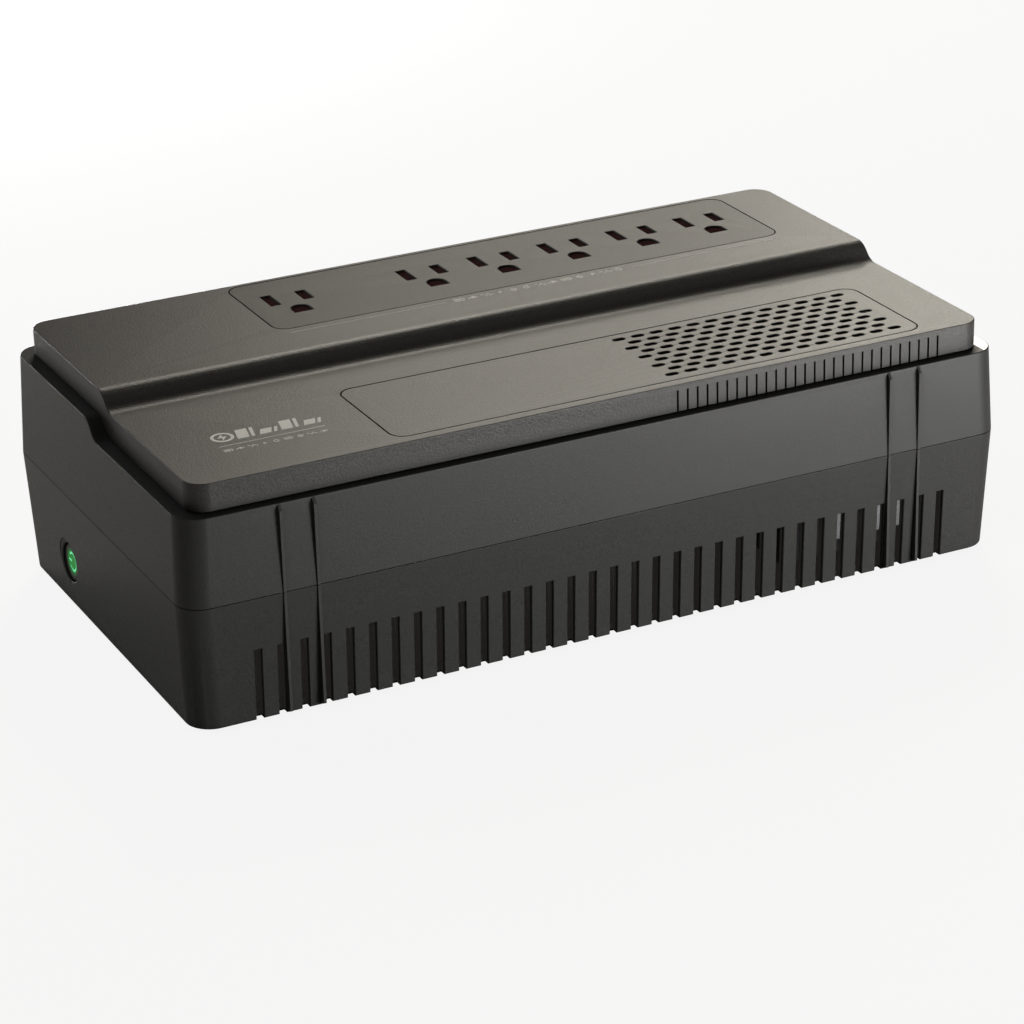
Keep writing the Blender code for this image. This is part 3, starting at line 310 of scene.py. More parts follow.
def finish_piece(obj, material, replaces=(), body="case", sharp=28):
    """Turns a piece into metres, shades it, and puts it on its body."""
    bm = bmesh.new()
    bm.from_mesh(obj.data)
    bmesh.ops.remove_doubles(bm, verts=bm.verts, dist=0.002)
    bmesh.ops.dissolve_degenerate(bm, edges=bm.edges, dist=0.001)
    bmesh.ops.scale(bm, verts=bm.verts, vec=(METRE, METRE, METRE))
    bm.to_mesh(obj.data)
    bm.free()
    obj.data.materials.clear()
    obj.data.materials.append(material)
    obj.data.shade_smooth()
    obj.data.set_sharp_from_angle(angle=math.radians(sharp))
    weighted = obj.modifiers.new("weighted_normals", "WEIGHTED_NORMAL")
    weighted.keep_sharp = True
    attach(obj, body)
    if replaces:
        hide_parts(*replaces)
    return obj


# Stepped top


def step_stations(low, high, middle_y):
    """y places of the S-shaped step's bends."""
    run = STEP_RADIUS * math.sin(STEP_SLOPE)
    rise = STEP_RADIUS * (1 - math.cos(STEP_SLOPE))
    half_slope = (high - low - 2 * rise) / math.tan(STEP_SLOPE) / 2
    front, back = middle_y - half_slope - run, middle_y + half_slope + run
    turns = [STEP_RADIUS * math.sin(STEP_SLOPE * i / ARC_STEPS) for i in range(ARC_STEPS + 1)]
    return [front + t for t in turns] + [back - t for t in reversed(turns)]


def step_height(low, high, middle_y):
    """Function that gives the height of the stepped surface at any y."""
    stations = step_stations(low, high, middle_y)
    front, back = stations[0], stations[-1]
    slope_front = stations[ARC_STEPS]

    def height(y):
        if y <= front:
            return low
        if y >= back:
            return high
        if y <= slope_front:
            return low + STEP_RADIUS - math.sqrt(STEP_RADIUS**2 - (y - front) ** 2)
        if y >= stations[ARC_STEPS + 1]:
            return high - STEP_RADIUS + math.sqrt(STEP_RADIUS**2 - (back - y) ** 2)
        start = low + STEP_RADIUS * (1 - math.cos(STEP_SLOPE))
        return start + (y - slope_front) * math.tan(STEP_SLOPE)

    return height


rim_height = step_height(RIM_LOW, RIM_HIGH, RIM_STEP_Y)
cover_height = step_height(COVER_LOW, COVER_HIGH, COVER_STEP_Y)
RIM_STATIONS = step_stations(RIM_LOW, RIM_HIGH, RIM_STEP_Y)
COVER_STATIONS = sorted(set(RIM_STATIONS) | set(step_stations(COVER_LOW, COVER_HIGH, COVER_STEP_Y)))


def case_inset(z):
    draft = LOWER_DRAFT if z < SEAM_Z else UPPER_DRAFT
    return draft * abs(SEAM_Z - z)


def case_ring(height, inset, stations=()):
    """Loop round the case; the height is a number or a function of y, the inset starts at the wall."""

    def outline(total):
        half_x, half_y = SEAM_HALF_X - total, SEAM_HALF_Y - total
        return rounded_outline(-half_x, half_x, -half_y, half_y, CASE_CORNER - inset, stations=stations)

    if not callable(height):
        return [(x, y, height) for x, y in outline(case_inset(height) + inset)]
    ring = []
    for k, (_, y) in enumerate(outline(inset)):
        z = height(y)
        x, y = outline(case_inset(z) + inset)[k]
        ring.append((x, y, z))
    return ring


def fillet(radius, steps=4):
    """(inset, drop) pairs of an edge fillet, from the wall up to the top face."""
    pairs = []
    for i in range(steps + 1):
        angle = math.pi / 2 * i / steps
        pairs.append((radius * (1 - math.cos(angle)), radius * (1 - math.sin(angle))))
    return pairs


# Shells


def flared_slot(bm, x, half_width, z0, z1, wall_y, side, flare, inner_y, round_top=False):
    """Cutter for an upright slot in a long wall, with a small chamfer at its mouth."""

    def section(grow):
        reach = half_width + grow
        if not round_top:
            return [(-reach, z0), (reach, z0), (reach, z1 + grow), (-reach, z1 + grow)]
        points = [(-reach, z0), (reach, z0)]
        for i in range(9):
            angle = math.pi * i / 8
            points.append((reach * math.cos(angle), z1 - half_width + reach * math.sin(angle)))
        return points

    loops = []
    for offset, grow in ((3.0, flare), (0.0, flare), (-flare, 0.0)):
        loops.append([(x + dx, side * (wall_y(z) + offset), z) for dx, z in section(grow)])
    loops.append([(x + dx, side * inner_y, z) for dx, z in section(0.0)])
    add_loft(bm, loops)


def add_fins(bm, stations):
    """Thin upright fins; stations are (z, distance of the outer edge from the middle) pairs."""
    half, edge = FIN_HALF, FIN_EDGE
    root = SEAM_HALF_Y - WALL + 0.2
    for x in FIN_X:
        for side in (-1, 1):
            loops = []
            for z, face in stations:
                section = ((-half, root), (-half, face - edge), (-half + edge, face),
                           (half - edge, face), (half, face - edge), (half, root))
                loops.append([(x + dx, side * y, z) for dx, y in section])
            add_loft(bm, loops)


def wall_y(z):
    return SEAM_HALF_Y - case_inset(z)


def make_bottom_shell(material):
    """Slotted tub with its base fillet, seam edge, foot seats, screw wells and end openings."""
    top = SEAM_Z - SEAM_GAP
    rings = [case_ring(BASE_Z + drop, inset) for inset, drop in reversed(fillet(BASE_RADIUS))]
    rings += [case_ring(top - drop, inset) for inset, drop in fillet(SEAM_RADIUS, 2)]
    rings.append(case_ring(top, WALL))
    rings.append(case_ring(BASE_Z + WALL, WALL))
    shell = solid("bottom_shell_skin", [lambda bm: add_loft(bm, rings)])

    def add_slots(bm):
        for side in (-1, 1):
            for i in range(SLOT_COUNT):
                x = (i - (SLOT_COUNT - 1) / 2) * SLOT_PITCH
                flared_slot(bm, x, SLOT_WIDTH / 2, -4.0, SLOT_TOP, wall_y, side, 0.22, SLOT_INNER_Y)

    def add_recess_wall(bm):
        low = (RECESS_X - WALL, RECESS_Y[0] - WALL, BASE_Z + 1)
        add_box(bm, low, (SEAM_HALF_X - 2.0, RECESS_Y[1] + WALL, RECESS_Z[1] + WALL))

    def add_wells(bm):
        for i in range(1, 5):
            add_turned(bm, SCREW_WELL, 48, origin=(*plan_middle(f"case_screw_{i}"), 0))

    combine(shell, "UNION", add_recess_wall)
    combine(shell, "UNION", add_wells)
    combine(shell, "DIFFERENCE", add_slots)
    start = BASE_Z + 0.25
    fin = [(start, wall_y(start) - 0.2), (start + 1.1, FIN_FACE_Y), (top, FIN_FACE_Y)]
    combine(shell, "UNION", lambda bm: add_fins(bm, fin))

    def add_recess(bm):
        face_x = SEAM_HALF_X - case_inset(RECESS_MID_Z)
        flare = RECESS_CHAMFER
        loops = []
        for x, grow in ((RECESS_X, 0.0), (face_x - 0.5, 0.0), (face_x, flare), (face_x + 5, flare)):
            y_range = (RECESS_Y[0] - grow, RECESS_Y[1] + grow)
            z_range = (RECESS_Z[0] - grow, RECESS_Z[1] + grow)
            outline = rounded_outline(*y_range, *z_range, RECESS_CORNER, 6)
            loops.append([(x, y, z) for y, z in outline])
        add_loft(bm, loops)

    def add_under(bm):
        for i in range(1, 5):
            add_turned(bm, SCREW_BORE, 48, origin=(*plan_middle(f"case_screw_{i}"), 0))
            add_turned(bm, FOOT_SEAT, 64, origin=(*plan_middle(f"rubber_foot_{i}"), 0))

    def add_end_holes(bm):
        end_x = SEAM_HALF_X - case_inset(BUTTON_Z)
        add_turned(bm, BUTTON_DISH, 96, axis=(-1, 0, 0), origin=(-end_x, BUTTON_Y, BUTTON_Z))
        for y, radius in ((GLAND_Y, GLAND_HOLE), (BREAKER_Y, BREAKER_HOLE)):
            place = (RECESS_X, y, RECESS_MID_Z)
            add_turned(bm, [(radius, -5), (radius, 5)], 48, axis=(1, 0, 0), origin=place)

    combine(shell, "DIFFERENCE", add_recess)
    combine(shell, "DIFFERENCE", add_under)
    combine(shell, "DIFFERENCE", add_end_holes)
    finish_piece(shell, material, ["bottom_shell"])


def make_upper_housing(material):
    """Upper wall with its inner tongue and the ledge that runs round the cover."""
    bottom = SEAM_Z + SEAM_GAP
    ledge = 9.0
    tongue = 3.6

    def rim(drop):
        return lambda y: rim_height(y) - drop

    st = RIM_STATIONS
    rings = [case_ring(bottom - tongue, 2.8, st), case_ring(bottom, 2.8, st)]
    rings += [case_ring(bottom + drop, inset, st) for inset, drop in reversed(fillet(SEAM_RADIUS, 2))]
    rings += [case_ring(rim(drop), inset, st) for inset, drop in fillet(RIM_RADIUS)]
    rings.append(case_ring(rim(0.0), ledge, st))
    rings.append(case_ring(rim(WALL), ledge, st))
    rings.append(case_ring(rim(WALL), 4.1, st))
    rings.append(case_ring(bottom - tongue, 4.1, st))
    housing = solid("upper_housing_skin", [lambda bm: add_loft(bm, rings, closed=True)])
    fin_top = RIM_LOW - 0.3
    fin = [(bottom, FIN_FACE_Y), (fin_top - FIN_CHAMFER, FIN_FACE_Y), (fin_top, wall_y(fin_top))]
    combine(housing, "UNION", lambda bm: add_fins(bm, fin))
    finish_piece(housing, material, ["upper_housing"])


def cover_ring(height, inset):
    outline = rounded_outline(
        -COVER_X + inset,
        COVER_X - inset,
        COVER_FRONT + inset,
        COVER_BACK - inset,
        COVER_CORNER - inset,
        stations=COVER_STATIONS,
    )
    return [(x, y, height(y)) for x, y in outline]


def stepped_sheet(bm, ring, flip):
    """Fills a ring of the cover with the stepped surface, strip by strip."""
    count = len(COVER_STATIONS)
    corner = CORNER_STEPS + 1
    right = ring[corner : corner + count]
    left = list(reversed(ring[3 * corner + count : 3 * corner + 2 * count]))
    front = ring[3 * corner + 2 * count :] + ring[:corner]
    back = ring[corner + count : 3 * corner + count]
    faces = [[left[0], *front, right[0]], [right[-1], *back, left[-1]]]
    faces += [[left[i], right[i], right[i + 1], left[i + 1]] for i in range(count - 1)]
    for face in faces:
        bm.faces.new(reversed(face) if flip else face)


def panel_outline(y_range, grow=0.0):
    x0, x1 = PANEL_X
    y0, y1 = y_range
    return rounded_outline(x0 - grow, x1 + grow, y0 - grow, y1 + grow, PANEL_CORNER + grow, 10)


def add_panel_opening(bm, y_range, top):
    """Cutter for a panel's opening with a small flare at its mouth."""
    gap, flare = 0.3, 0.18
    levels = ((top - 6, gap), (top - flare, gap), (top, gap + flare), (top + 3, gap + flare))
    add_loft(bm, [[(x, y, z) for x, y in panel_outline(y_range, grow)] for z, grow in levels])


def make_top_cover(material):
    """Stepped cover with its edge fillet, skirt, panel openings and fine front slots."""

    def over_rim(y):
        return rim_height(y) + COVER_GAP

    levels = [(over_rim, 0.25), (lambda y: over_rim(y) + 0.25, 0.0)]
    for inset, drop in fillet(COVER_RADIUS):
        levels.append((lambda y, d=drop: cover_height(y) - d, inset))
    bm = bmesh.new()
    outer = [[bm.verts.new(p) for p in cover_ring(height, inset)] for height, inset in levels]
    inner_top = [bm.verts.new(p) for p in cover_ring(lambda y: cover_height(y) - COVER_WALL, COVER_WALL)]
    inner_low = [bm.verts.new(p) for p in cover_ring(over_rim, COVER_WALL)]
    rings = [inner_top, inner_low, *outer]
    count = len(inner_top)
    for lower, upper in zip(rings, rings[1:]):
        for i in range(count):
            j = (i + 1) % count
            bm.faces.new((lower[i], lower[j], upper[j], upper[i]))
    stepped_sheet(bm, outer[-1], False)
    stepped_sheet(bm, inner_top, True)
    bmesh.ops.recalc_face_normals(bm, faces=bm.faces)
    mesh = bpy.data.meshes.new("top_cover_skin")
    bm.to_mesh(mesh)
    bm.free()
    cover = bpy.data.objects.new("top_cover_skin", mesh)
    bpy.context.scene.collection.objects.link(cover)

    def add_lip_slots(bm):
        for i in range(LIP_SLOT_COUNT):
            x = LIP_SLOT_FIRST_X + LIP_SLOT_PITCH * i
            span = (LIP_SLOT_WIDTH / 2, RIM_LOW - 6, LIP_SLOT_TOP)
            flared_slot(bm, x, *span, lambda z: -COVER_FRONT, -1, 0.06, -COVER_FRONT - 2.6, True)

    combine(cover, "DIFFERENCE", lambda bm: add_panel_opening(bm, OUTLET_Y, COVER_HIGH))
    combine(cover, "DIFFERENCE", lambda bm: add_panel_opening(bm, VENT_Y, COVER_LOW))
    combine(cover, "DIFFERENCE", add_lip_slots)
    finish_piece(cover, material, ["top_cover"])


def panel_body(name, y_range, top, flange_y):
    """Panel with a rounded upper edge and the flange that holds it under the cover."""
    under = top - PANEL_PLATE
    levels = [(under - 1.4, 0.0)] + [(top - drop, -inset) for inset, drop in fillet(PANEL_RADIUS, 3)]
    loops = [[(x, y, z) for x, y in panel_outline(y_range, grow)] for z, grow in levels]
    body = solid(name, [lambda bm: add_loft(bm, loops)])
    flange_x = (PANEL_X[0] - PANEL_FLANGE, PANEL_X[1] + PANEL_FLANGE)
    flange = rounded_outline(*flange_x, *flange_y, PANEL_CORNER, 10)
    return combine(body, "UNION", lambda bm: add_plate(bm, flange, under - 1.5, under))


def stadium(x, y, length, width, steps=6):
    """Outline with round ends, along X."""
    reach, radius = (length - width) / 2, width / 2
    points = []
    for side, start in ((1, -90), (-1, 90)):
        for i in range(steps + 1):
            angle = math.radians(start + 180 * i / steps)
            points.append((x + side * reach + radius * math.cos(angle), y + radius * math.sin(angle)))
    return points


def make_vent_panel(material):
    """Panel with fine score lines along the rows and flared round-ended slots."""
    flange_y = (VENT_BOX[0].y, VENT_BOX[1].y)
    panel = panel_body("vent_panel_skin", VENT_Y, COVER_LOW, flange_y)
    top = COVER_LOW

    def row_y(row):
        return VENT_BACK_Y - VENT_PITCH_Y * row

    def add_scores(bm):
        for row in range(VENT_ROWS):
            inset = (row % 2) * VENT_PITCH_X / 2
            x0 = VENT_FIRST_X + inset
            x1 = VENT_FIRST_X + VENT_PITCH_X * (VENT_COLUMNS - 1) - inset
            add_box(bm, (x0, row_y(row) - 0.08, top - 0.16), (x1, row_y(row) + 0.08, top + 1))

    def add_vents(bm):
        flare = 0.22
        for row in range(VENT_ROWS):
            short = row % 2
            for column in range(VENT_COLUMNS - short):
                x = VENT_FIRST_X + VENT_PITCH_X * (column + short / 2)
                levels = ((top - 8, 0.0), (top - flare, 0.0), (top, flare), (top + 2, flare))
                loops = []
                for z, grow in levels:
                    shape = stadium(x, row_y(row), VENT_LENGTH + 2 * grow, VENT_WIDTH + 2 * grow)
                    loops.append([(px, py, z) for px, py in shape])
                add_loft(bm, loops)

    combine(panel, "DIFFERENCE", add_scores)
    combine(panel, "DIFFERENCE", add_vents)
    finish_piece(panel, material, ["vent_panel"])


def blade_outline(x, length, grow):
    half_x, half_y = BLADE_WIDTH / 2 + grow, length / 2 + grow
    return rounded_outline(x - half_x, x + half_x, BLADE_Y - half_y, BLADE_Y + half_y, 0.3, 3)


def earth_outline(x, grow):
    radius = EARTH_RADIUS + grow
    points = [(x - radius, EARTH_Y - radius), (x + radius, EARTH_Y - radius)]
    for i in range(17):
        angle = math.pi * i / 16
        points.append((x + radius * math.cos(angle), EARTH_Y + radius * math.sin(angle)))
    return points


def make_outlet_panel(material):
    """Receptacle face with flared blade slots and D-shaped earth holes over closed wells."""
    panel = panel_body("outlet_panel_skin", OUTLET_Y, COVER_HIGH, (OUTLET_BOX[0].y, OUTLET_BOX[1].y))
    well_top = COVER_HIGH - 3.2
    well_low = OUTLET_BOX[0].z

    def add_wells(bm):
        for x in OUTLET_X:
            add_box(bm, (x - 11.5, EARTH_Y - 7, well_low), (x + 11.5, BLADE_Y + 9, well_top))

    def add_holes(bm):
        flare = 0.34
        for x in OUTLET_X:
            shapes = (
                lambda g, x=x: blade_outline(x - BLADE_SPREAD, NEUTRAL_LENGTH, g),
                lambda g, x=x: blade_outline(x + BLADE_SPREAD, LINE_LENGTH, g),
                lambda g, x=x: earth_outline(x, g),
            )
            top = COVER_HIGH
            levels = ((well_low + 1.0, 0.0), (top - flare, 0.0), (top, flare), (top + 2, flare))
            for shape in shapes:
                add_loft(bm, [[(px, py, z) for px, py in shape(grow)] for z, grow in levels])

    combine(panel, "UNION", add_wells)
    combine(panel, "DIFFERENCE", add_holes)
    finish_piece(panel, material, ["outlet_panel"])


# Power button


def symbol_shapes(stroke):
    """(y, z) outlines of the power symbol, open towards the back: an arc and a bar."""
    half, opening, steps = stroke / 2, math.radians(38), 40
    inner, outer = [], []
    for i in range(steps + 1):
        angle = opening + (2 * math.pi - 2 * opening) * i / steps
        for points, radius in ((inner, SYMBOL_RADIUS - half), (outer, SYMBOL_RADIUS + half)):
            points.append((radius * math.cos(angle), radius * math.sin(angle)))
    arc = [*outer, *reversed(inner)]
    bar = rounded_outline(0.9, 3.9, -half, half, half * 0.98, 6)
    return arc, bar


def add_symbol(bm, stroke, depth_low, depth_high):
    """Symbol as prisms along X, between two depths under the button's face."""
    for shape in symbol_shapes(stroke):
        loops = []
        for depth in (depth_low, depth_high):
            loops.append([(BUTTON_FACE_X + depth, BUTTON_Y + y, BUTTON_Z + z) for y, z in shape])
        add_loft(bm, loops)


def make_button(cap_material, symbol_material):
    """Dished push cap on its skirt and stem, and the lit symbol set into it."""
    origin = (BUTTON_FACE_X, BUTTON_Y, BUTTON_Z)
    profile = list(CAP)
    for i in range(1, 8):
        profile.append((CAP_DISH_RADIUS * (1 - i / 8), -0.02 - 0.3 * math.sin(math.pi / 2 * i / 8)))
    cap = solid("power_button_skin", [lambda bm: add_turned(bm, profile, 96, (-1, 0, 0), origin)])
    combine(cap, "DIFFERENCE", lambda bm: add_symbol(bm, SYMBOL_STROKE + 0.1, -1.0, 1.1))
    finish_piece(cap, cap_material, ["power_button"], "power_button_body")

    def add_disc(bm):
        add_turned(bm, SYMBOL_DISC, 64, (-1, 0, 0), origin, closed=True)

    symbol = solid("power_symbol_skin", [lambda bm: add_symbol(bm, SYMBOL_STROKE, 0.34, 4.2)])
    combine(symbol, "UNION", add_disc)
    finish_piece(symbol, symbol_material, ["power_light_guide"], "power_button_body")


# Feet, gland and breaker


def make_feet(material):
    """Round rubber feet with a moulded ring groove and a small vent hole."""
    for i in range(1, 5):
        node = f"rubber_foot_{i}"
        centre = (*plan_middle(node), box_mm(node)[0].z)
        foot = solid(f"{node}_skin", [lambda bm, c=centre: add_turned(bm, FOOT, 72, origin=c)])
        finish_piece(foot, material, [node])


def make_gland(material):
    """Gland bushing with a rounded flange, a fluted rim and a soft mouth."""

    def flutes(angle, radius):
        return -0.16 * max(0.0, math.cos(18 * angle)) ** 2 if radius > 8.3 else 0.0

    origin = (RECESS_X, GLAND_Y, RECESS_MID_Z)

    def add_bushing(bm):
        add_turned(bm, GLAND, 144, (1, 0, 0), origin, closed=True, wobble=flutes)

    gland = solid("cord_gland_skin", [add_bushing])
    finish_piece(gland, material, ["cord_gland"])


def make_breaker(nut_material, button_material):
    """Chamfered hexagon nut and the domed button that it surrounds."""
    origin = (RECESS_X, BREAKER_Y, RECESS_MID_Z)

    def hexagon(angle, radius):
        if radius < 5.6:
            return 0.0
        flat = NUT_CORNER * math.cos(math.pi / 6) / math.cos(angle % (math.pi / 3) - math.pi / 6)
        return min(radius, flat) - radius if radius < NUT_CORNER else flat - radius

    def add_nut(bm):
        add_turned(bm, NUT, 96, (1, 0, 0), origin, closed=True, wobble=hexagon)

    nut = solid("breaker_nut_skin", [add_nut])
    finish_piece(nut, nut_material, ["breaker_nut"])
    button = solid("breaker_button_skin", [lambda bm: add_turned(bm, BREAKER, 64, (1, 0, 0), origin)])
    finish_piece(button, button_material, ["breaker_button"], "breaker_button_body")


# Printed marks


def bar(x0, x1, y0, y1):
    return [(x0, y0), (x1, y0), (x1, y1), (x0, y1)]


def frame_bars(x0, x1, y0, y1, line):
    """Four bars that make an open rectangle."""
    return [
        bar(x0, x1, y0, y0 + line),
        bar(x0, x1, y1 - line, y1),
        bar(x0, x0 + line, y0 + line, y1 - line),
        bar(x1 - line, x1, y0 + line, y1 - line),
    ]


def ribbon(points, width):
    """Outline of an open line drawn with a given width."""
    left, right = [], []
    for i, point in enumerate(points):
        before, after = points[max(i - 1, 0)], points[min(i + 1, len(points) - 1)]
        along_line = (Vector(after) - Vector(before)).normalized()
        across = Vector((-along_line.y, along_line.x)) * width / 2
        left.append(tuple(Vector(point) + across))
        right.append(tuple(Vector(point) - across))
    return [*right, *reversed(left)]


def arc_points(radius, start, end, steps=24):
    angles = [math.radians(start + (end - start) * i / steps) for i in range(steps + 1)]
    return [(radius * math.cos(a), radius * math.sin(a)) for a in angles]


def pictograms():
    """Generic marks in a box two units high: cell, plug, bolt, ring, wave and shelter."""
    line = 0.34
    bolt = [(0.2, 1.0), (-0.7, -0.15), (-0.1, -0.15), (-0.25, -1.0), (0.7, 0.2), (0.1, 0.2)]
    cell = [*frame_bars(-1.4, 1.1, -0.85, 0.85, line * 0.8), bar(1.1, 1.45, -0.35, 0.35)]
    cell += [bar(x, x + 0.5, -0.4, 0.4) for x in (-0.85, -0.1)]
    plug = [bar(-0.5, 0.5, -0.6, 0.6), bar(0.5, 1.2, 0.18, 0.44), bar(0.5, 1.2, -0.44, -0.18)]
    plug.append(ribbon([(-0.5, 0.0), (-1.0, 0.0), (-1.3, -0.25), (-1.5, -0.6)], line))
    ring = [ribbon(arc_points(0.82, 40, 320), line), bar(0.1, 1.0, -0.17, 0.17)]
    wave = [ribbon([(x / 8, 0.6 * math.sin(x / 8 * math.pi / 0.75)) for x in range(-12, 13)], line)]
    roof = ribbon([(-1.0, -0.1), (0.0, 0.8), (1.0, -0.1)], line)
    shelter = [roof, *frame_bars(-0.65, 0.65, -0.9, 0.05, 0.3)]
    return {"cell": cell, "plug": plug, "bolt": [bolt], "ring": ring, "wave": wave, "shelter": shelter}


def make_prints(material):
    """Thin light-grey lines and generic pictograms printed on the cover."""
    marks = pictograms()
    high, low = [], []

    def place(store, shapes, x, y, size):
        for shape in shapes:
            store.append([(x + size * px, y + size * py) for px, py in shape])

    line_y, line = 20.3, 0.26
    for x0, x1 in ((-70.4, -11.9), (60.7, 118.5)):
        high.append(bar(x0, x1, line_y - line / 2, line_y + line / 2))
    row = "cell plug wave bolt shelter ring wave plug cell shelter bolt wave ring"
    for i, name in enumerate(row.split()):
        place(high, marks[name], -6.8 + 5.2 * i, line_y, 1.42)
    emblem_x, emblem_y = -121.2, -42.2
    place(low, [ribbon(arc_points(1.0, 0, 360, 48), 0.34)], emblem_x, emblem_y, 3.3)
    place(low, marks["bolt"], emblem_x, emblem_y, 2.5)
    lean, half = 1.6, 3.6
    for i, tall in enumerate((1.0, 0.55, 1.0, 0.55)):
        x = -114.2 + 7.6 * i
        bottom, top = emblem_y - half, emblem_y + half * (2 * tall - 1)
        for x0, x1 in ((-1.4, 2.6), (3.4, 4.6)):
            low.append([(x + x0 - lean, bottom), (x + x1 - lean, bottom), (x + x1, top), (x + x0, top)])
    low.append(bar(-125.0, -88.7, -49.5, -49.1))
    for i, name in enumerate("cell plug wave bolt ring cell shelter wave plug".split()):
        place(low, marks[name], -123.4 + 4.1 * i, -53.2, 1.1)
    for name, shapes, face in (("cover_print_high", high, COVER_HIGH), ("cover_print_low", low, COVER_LOW)):
        z0, z1 = face - PRINT_DEPTH, face + PRINT_RISE * 0.6
        adders = [lambda bm, o=outline, a=z0, b=z1: add_plate(bm, o, a, b) for outline in shapes]
        finish_piece(solid(name, adders), material)


# Materials


class Nodes:
    """Small helper to write a node material in few lines."""

    def __init__(self, name):
        self.material = bpy.data.materials.new(name)
        self.material.use_nodes = True
        self.tree = self.material.node_tree
        self.shader = self.tree.nodes["Principled BSDF"]
        self.point = self.add("ShaderNodeTexCoord").outputs["Object"]

    def add(self, kind, **settings):
        node = self.tree.nodes.new(kind)
        for key, value in settings.items():
            setattr(node, key, value)
        return node

    def link(self, source, target):
        self.tree.links.new(source, target)

    def noise(self, scale, detail=4.0, roughness=0.5, stretch=None):
        node = self.add("ShaderNodeTexNoise")
        node.inputs["Scale"].default_value = scale
        node.inputs["Detail"].default_value = detail
        node.inputs["Roughness"].default_value = roughness
        if stretch:
            mapping = self.add("ShaderNodeMapping")
            mapping.inputs["Scale"].default_value = stretch
            self.link(self.point, mapping.inputs["Vector"])
            self.link(mapping.outputs["Vector"], node.inputs["Vector"])
        else:
            self.link(self.point, node.inputs["Vector"])
        return node.outputs["Fac"]

    def ramp(self, source, stops):
        node = self.add("ShaderNodeValToRGB")
        ramp = node.color_ramp
        while len(ramp.elements) < len(stops):
            ramp.elements.new(0.5)
        for element, (place, colour) in zip(ramp.elements, stops):
            element.position = place
            element.color = (*colour, 1.0) if len(colour) == 3 else colour
        self.link(source, node.inputs["Fac"])
        return node.outputs["Color"]

    def mix(self, factor, a, b, blend="MIX"):
        node = self.add("ShaderNodeMix", data_type="RGBA", blend_type=blend)
        for value, socket in ((factor, node.inputs[0]), (a, node.inputs[6]), (b, node.inputs[7])):
            if isinstance(value, bpy.types.NodeSocket):
                self.link(value, socket)
            else:
                socket.default_value = value
        return node.outputs[2]

    def range(self, source, low, high, to_low, to_high):
        node = self.add("ShaderNodeMapRange")
        for socket, value in zip(node.inputs[1:5], (low, high, to_low, to_high)):
            socket.default_value = value
        self.link(source, node.inputs["Value"])
        return node.outputs["Result"]

    def maths(self, operation, a, b=0.0):
        node = self.add("ShaderNodeMath", operation=operation)
        for value, socket in ((a, node.inputs[0]), (b, node.inputs[1])):
            if isinstance(value, bpy.types.NodeSocket):
                self.link(value, socket)
            else:
                socket.default_value = value
        return node.outputs["Value"]

    def glow(self, mask, colour):
        """Emission of a colour where the mask is one."""
        self.link(self.ramp(mask, [(0.0, BLACK), (1.0, colour)]), self.shader.inputs["Emission Color"])
        self.shader.inputs["Emission Strength"].default_value = 1.0

    def bump(self, heights):
        """Chain of bumps from (height, strength, distance) triples."""
        normal = None
        for height, strength, distance in heights:
            node = self.add("ShaderNodeBump")
            node.inputs["Strength"].default_value = strength
            node.inputs["Distance"].default_value = distance
            self.link(height, node.inputs["Height"])
            if normal:
                self.link(normal, node.inputs["Normal"])
            normal = node.outputs["Normal"]
        self.link(normal, self.shader.inputs["Normal"])


# Painted crease shade: occlusion where the painted shade is full, occlusion where it ends, and the tone
# left in the shade
CREASE_SHADE = (0.42, 0.97, 0.10)
CASE_CREASE_SHADE = (0.42, 0.90, 0.45)
COVER_CREASE_SHADE = (0.45, 1.0, 0.05)
CREASE_SHADE_REACH = 0.007
BLACK = (0.0, 0.0, 0.0)
# Faint painted glow on the faces inside the case, standing in for light that scatters in through the slots.
INNER_PAINTED_GLOW = (0.0112, 0.0105, 0.0097)
INNER_END_X = 0.1425
# Faint painted glow in the receptacle wells, standing in for light that reaches into them.
WELL_PAINTED_GLOW = (0.0150, 0.0060, 0.0055)
WELL_COLOUR = (0.030, 0.014, 0.013, 1.0)


def grey(value, warmth=0.0):
    return (value * (1 + warmth), value, value * (1 - warmth))


